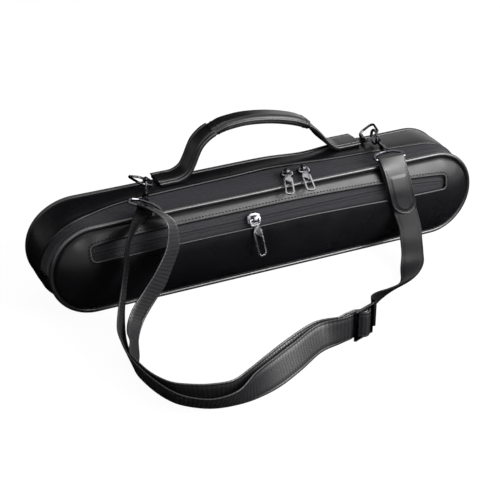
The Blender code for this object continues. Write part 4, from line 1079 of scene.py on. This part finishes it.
def makeTab(line):
    smooth = smoothRows([tuple(p) + tuple(w.normalized()) for p, w in line], 8)
    frames = []
    for k in range(len(smooth)):
        before = Vector(smooth[max(k - 1, 0)][:3])
        after = Vector(smooth[min(k + 1, len(smooth) - 1)][:3])
        along = (after - before).normalized()
        wide = Vector(smooth[k][3:]).normalized()
        face = along.cross(wide).normalized()
        frames.append((Vector(smooth[k][:3]), along, wide, face))
    offset = strap["eyeWire"] + bag["gap"] + tab["leather"] / 2
    path = []
    for point, along, wide, face in frames[:0:-1]:
        path.append((point + face * offset, wide, face))
    point, along, wide, face = frames[0]
    along = wide.cross(face)
    for angle in range(80, -81, -20):
        out = face * math.sin(math.radians(angle)) - along * math.cos(math.radians(angle))
        path.append((point + out * offset, wide, out))
    for point, along, wide, face in frames[1:26]:
        path.append((point - face * offset, wide, -face))
    reach = [0.0]
    for a, b in zip(path, path[1:]):
        reach.append(reach[-1] + (b[0] - a[0]).length)
    frontEnd = reach[len(frames) - 1]
    half = tab["half"]
    columns = [s / 12 for s in range(-12, 13)]
    rows = []
    for (point, wide, out), far in zip(path, reach):
        width = half
        if far < tab["endRound"]:
            width = half * math.sqrt(max(1 - ((tab["endRound"] - far) / tab["endRound"]) ** 2, 0.02))
        top = []
        low = []
        for c in columns:
            a = c * width
            lift = 0.0
            if tab["panelStart"] < far < frontEnd - tab["panelTop"]:
                limit = tab["panelHalf"]
                short = (tab["panelStart"] + tab["panelRound"] - far) / tab["panelRound"]
                if short > 0:
                    limit = tab["panelHalf"] * math.sqrt(max(1 - short ** 2, 0))
                rim = min(limit - abs(a), frontEnd - tab["panelTop"] - far) / tab["panelRim"]
                lift = tab["panelLift"] * clamped(rim)
            edge = 1 - 0.55 * max(0.0, (abs(c) - 0.93) / 0.07)
            top.append(point + wide * a + out * (tab["leather"] / 2 * edge + lift))
            low.append(point + wide * a - out * (tab["leather"] / 2 * edge))
        rows.append(top + low[::-1])
    dress(loftSkin("endTab", rows, "lip"), "strap", "leather", "strap_end_tab")

    def tabLoop(side, tip, top):
        loop = []
        turnFar = tip + side
        for s in range(61):
            q = s / 60
            if q < 0.36:
                far, a = top - (top - turnFar) * q / 0.36, -side
            elif q < 0.64:
                turn = math.pi * (q - 0.36) / 0.28
                far, a = turnFar - side * math.sin(turn), -side * math.cos(turn)
            else:
                far, a = turnFar + (top - turnFar) * (q - 0.64) / 0.36, side
            for k in range(len(reach) - 1):
                if reach[k] <= far <= reach[k + 1]:
                    share = (far - reach[k]) / max(reach[k + 1] - reach[k], 1e-9)
                    point = path[k][0].lerp(path[k + 1][0], share)
                    loop.append((point + path[k][1] * a + path[k][2] * (tab["leather"] / 2), path[k][2]))
                    break
        return loop

    edge = [p for p, _ in tabLoop(half - 0.0006, 0.0004, frontEnd - 0.003)]
    dress(loftSkin("tabEdge", tubeRows(edge, 0.00045, 8), "welt"), "strap", "leather")
    loop = tabLoop(tab["sewSide"], 0.0020, frontEnd - 0.0115)
    places = walkStitches(loop, tab["stitch"], tab["stitchGap"])
    dress(sewLine("tabStitches", places, "thread"), "strap", "leather")


tabLine = makeStrap()
makeTab(tabLine)
print("strap made")

# small parts taken from the frame: some get bevels, and the rest only their finish
metalBevel = {
    "silver": {"width": 0.00028, "names": ("main_pull_left", "main_pull_right", "pocket_pull")},
    "dull": {"width": 0.00028, "names": ("pocket_slider",)},
    "enamel": {"width": 0.00030, "names": ("main_slider_left", "main_slider_right")},
    "nickel": {"width": 0.00022, "names": ("left_hook", "right_hook", "left_gate", "right_gate",
                                           "strap_adjuster", "left_zip_stop", "right_zip_stop")},
}
metalBody = {"strap_adjuster": "strap", "left_zip_stop": "bag", "right_zip_stop": "bag"}
metalSlot = {"silver": "polished_metal", "dull": "polished_metal", "enamel": "black_enamel",
             "nickel": "black_nickel"}
keptFinish = {
    "nickel": ("left_ring", "right_ring", "left_swivel_eye", "right_swivel_eye", "left_front_rivet",
               "left_rear_rivet", "right_front_rivet", "right_rear_rivet"),
    "handle": ("left_ring_loop", "right_ring_loop"),
}


def bevelledCopy(name, finish, width):
    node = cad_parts[name]
    mesh = node.data.copy()
    mesh.transform(node.matrix_world)
    if "zip_stop" in name:
        middle = sum((v.co for v in mesh.vertices), Vector()) / len(mesh.vertices)
        mesh.transform(Matrix.Translation((0, bowShift(middle), 0)))
    shape = bmesh.new()
    shape.from_mesh(mesh)
    bmesh.ops.remove_doubles(shape, verts=shape.verts, dist=0.000004)
    bmesh.ops.dissolve_limit(shape, angle_limit=math.radians(3), verts=shape.verts, edges=shape.edges)
    edges = [e for e in shape.edges if len(e.link_faces) == 2 and e.calc_face_angle(0) > math.radians(32)]
    bmesh.ops.bevel(shape, geom=edges, offset=width, offset_type="OFFSET", segments=2, profile=0.6,
                    affect="EDGES", clamp_overlap=True)
    bmesh.ops.recalc_face_normals(shape, faces=shape.faces)
    shape.to_mesh(mesh)
    shape.free()
    mesh.materials.clear()
    mesh.materials.append(finishes[finish])
    mesh.shade_smooth()
    mesh.set_sharp_from_angle(angle=math.radians(40))
    copy = bpy.data.objects.new(name + "_smooth", mesh)
    bpy.context.collection.objects.link(copy)
    dress(copy, metalBody.get(name, name), metalSlot[finish], name)


for finish, values in metalBevel.items():
    for node in values["names"]:
        bevelledCopy(node, finish, values["width"])
for finish, names in keptFinish.items():
    for node in names:
        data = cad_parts[node].data
        data.materials.clear()
        data.materials.append(finishes[finish])
print("metal parts finished")

# floor, light and background
studio = {"floorTone": 1.03, "glow": 0.92, "world": 0.32}


# one for what the camera, a reflection or a clear piece sees, and nought for the light that falls on things
def seenDirectly(tree):
    path = addNode(tree, "LightPath")
    seen = path.outputs["Is Camera Ray"]
    for kind in ("Is Glossy Ray", "Is Transmission Ray"):
        either = addNode(tree, "Math", operation="MAXIMUM")
        tree.links.new(seen, either.inputs[0])
        tree.links.new(path.outputs[kind], either.inputs[1])
        seen = either.outputs[0]
    return seen


def makeFloor():
    bpy.ops.object.select_all(action="DESELECT")
    bpy.ops.mesh.primitive_plane_add(size=12, location=(0, 0, 0))
    floor = bpy.context.object
    floor.name = "studioFloor"
    material, tree, shader = startMaterial("paleFloor")
    shader.inputs["Base Color"].default_value = (0.9, 0.9, 0.9, 1)
    shader.inputs["Roughness"].default_value = 0.9
    shader.inputs["Specular IOR Level"].default_value = 0.1
    out = next(n for n in tree.nodes if n.type == "OUTPUT_MATERIAL")
    glow = addNode(tree, "Emission", Strength=studio["floorTone"])
    mix = addNode(tree, "MixShader")
    tree.links.new(product(tree, seenDirectly(tree), studio["glow"]), mix.inputs["Fac"])
    tree.links.new(shader.outputs["BSDF"], mix.inputs[1])
    tree.links.new(glow.outputs["Emission"], mix.inputs[2])
    tree.links.new(mix.outputs["Shader"], out.inputs["Surface"])
    floor.data.materials.append(material)


def makeWorld():
    world = bpy.data.worlds.new("paleWorld")
    bpy.context.scene.world = world
    world.use_nodes = True
    tree = world.node_tree
    tree.nodes.clear()
    out = tree.nodes.new("ShaderNodeOutputWorld")
    back = tree.nodes.new("ShaderNodeBackground")
    back.inputs["Color"].default_value = (1, 1, 1, 1)
    level = addNode(tree, "MapRange")
    level.inputs["To Min"].default_value = studio["world"]
    level.inputs["To Max"].default_value = 1.0
    tree.links.new(seenDirectly(tree), level.inputs["Value"])
    tree.links.new(level.outputs["Result"], back.inputs["Strength"])
    tree.links.new(back.outputs["Background"], out.inputs["Surface"])


lamps = {
    "frontSoftbox": {"place": (0.66, -0.84, 0.60), "aim": (0.10, -0.03, 0.07), "size": (0.86, 0.40),
                     "power": 17.0},
    "leftSoftbox": {"place": (-0.42, -0.92, 0.62), "aim": (-0.14, -0.03, 0.07), "size": (0.30, 0.30),
                    "power": 1.6},
    "highSoftbox": {"place": (0.74, -0.54, 0.80), "aim": (0.14, -0.03, 0.07), "size": (0.80, 0.26),
                    "power": 5.0},
    "rearSoftbox": {"place": (-0.75, 0.85, 0.30), "aim": (0.0, 0.03, 0.05), "size": (0.50, 0.30),
                    "power": 1.5},
    "lowSoftbox": {"place": (0.45, -1.10, 0.20), "aim": (0.05, -0.10, 0.04), "size": (0.60, 0.24),
                   "power": 3.4},
    "rightSoftbox": {"place": (1.00, -0.45, 0.30), "aim": (0.10, -0.18, 0.03), "size": (0.50, 0.34),
                     "power": 3.0},
    "overhead": {"place": (-0.1, 0.10, 1.40), "aim": (0, 0, 0.05), "size": (1.2, 0.7), "power": 4.0},
}
# dark cards that only reflections see, as black flags round a glossy product
cards = {
    "floorCard": {"place": (-0.30, -0.02, 0.0008), "size": (1.60, 1.16), "turn": (0, 0, 0)},
    "rearCard": {"place": (-0.38, 0.55, 0.45), "size": (1.42, 0.90), "turn": (90, 0, 0)},
    "leftCard": {"place": (-1.10, 0.0, 0.30), "size": (0.60, 1.10), "turn": (0, 90, 0)},
}


def makeLamps():
    for name, values in lamps.items():
        data = bpy.data.lights.new(name, "AREA")
        data.shape = "RECTANGLE"
        data.size, data.size_y = values["size"]
        data.energy = values["power"]
        lamp = bpy.data.objects.new(name, data)
        bpy.context.collection.objects.link(lamp)
        lamp.location = values["place"]
        aim = Vector(values["aim"]) - lamp.location
        lamp.rotation_euler = aim.to_track_quat("-Z", "Y").to_euler()


def makeCards():
    material, tree, shader = startMaterial("blackCard")
    shader.inputs["Base Color"].default_value = (0, 0, 0, 1)
    shader.inputs["Roughness"].default_value = 1.0
    shader.inputs["Specular IOR Level"].default_value = 0.0
    for name, values in cards.items():
        bpy.ops.object.select_all(action="DESELECT")
        bpy.ops.mesh.primitive_plane_add(size=1, location=values["place"],
                                         rotation=[math.radians(a) for a in values["turn"]])
        card = bpy.context.object
        card.name = name
        card.scale = (*values["size"], 1)
        bpy.ops.object.transform_apply(location=False, rotation=True, scale=True)
        card.data.materials.append(material)
        for way in ("camera", "diffuse", "transmission", "volume_scatter", "shadow"):
            setattr(card, "visible_" + way, False)


makeFloor()
makeWorld()
makeLamps()
makeCards()
bpy.context.scene.view_settings.view_transform = "Standard"
print("studio made")
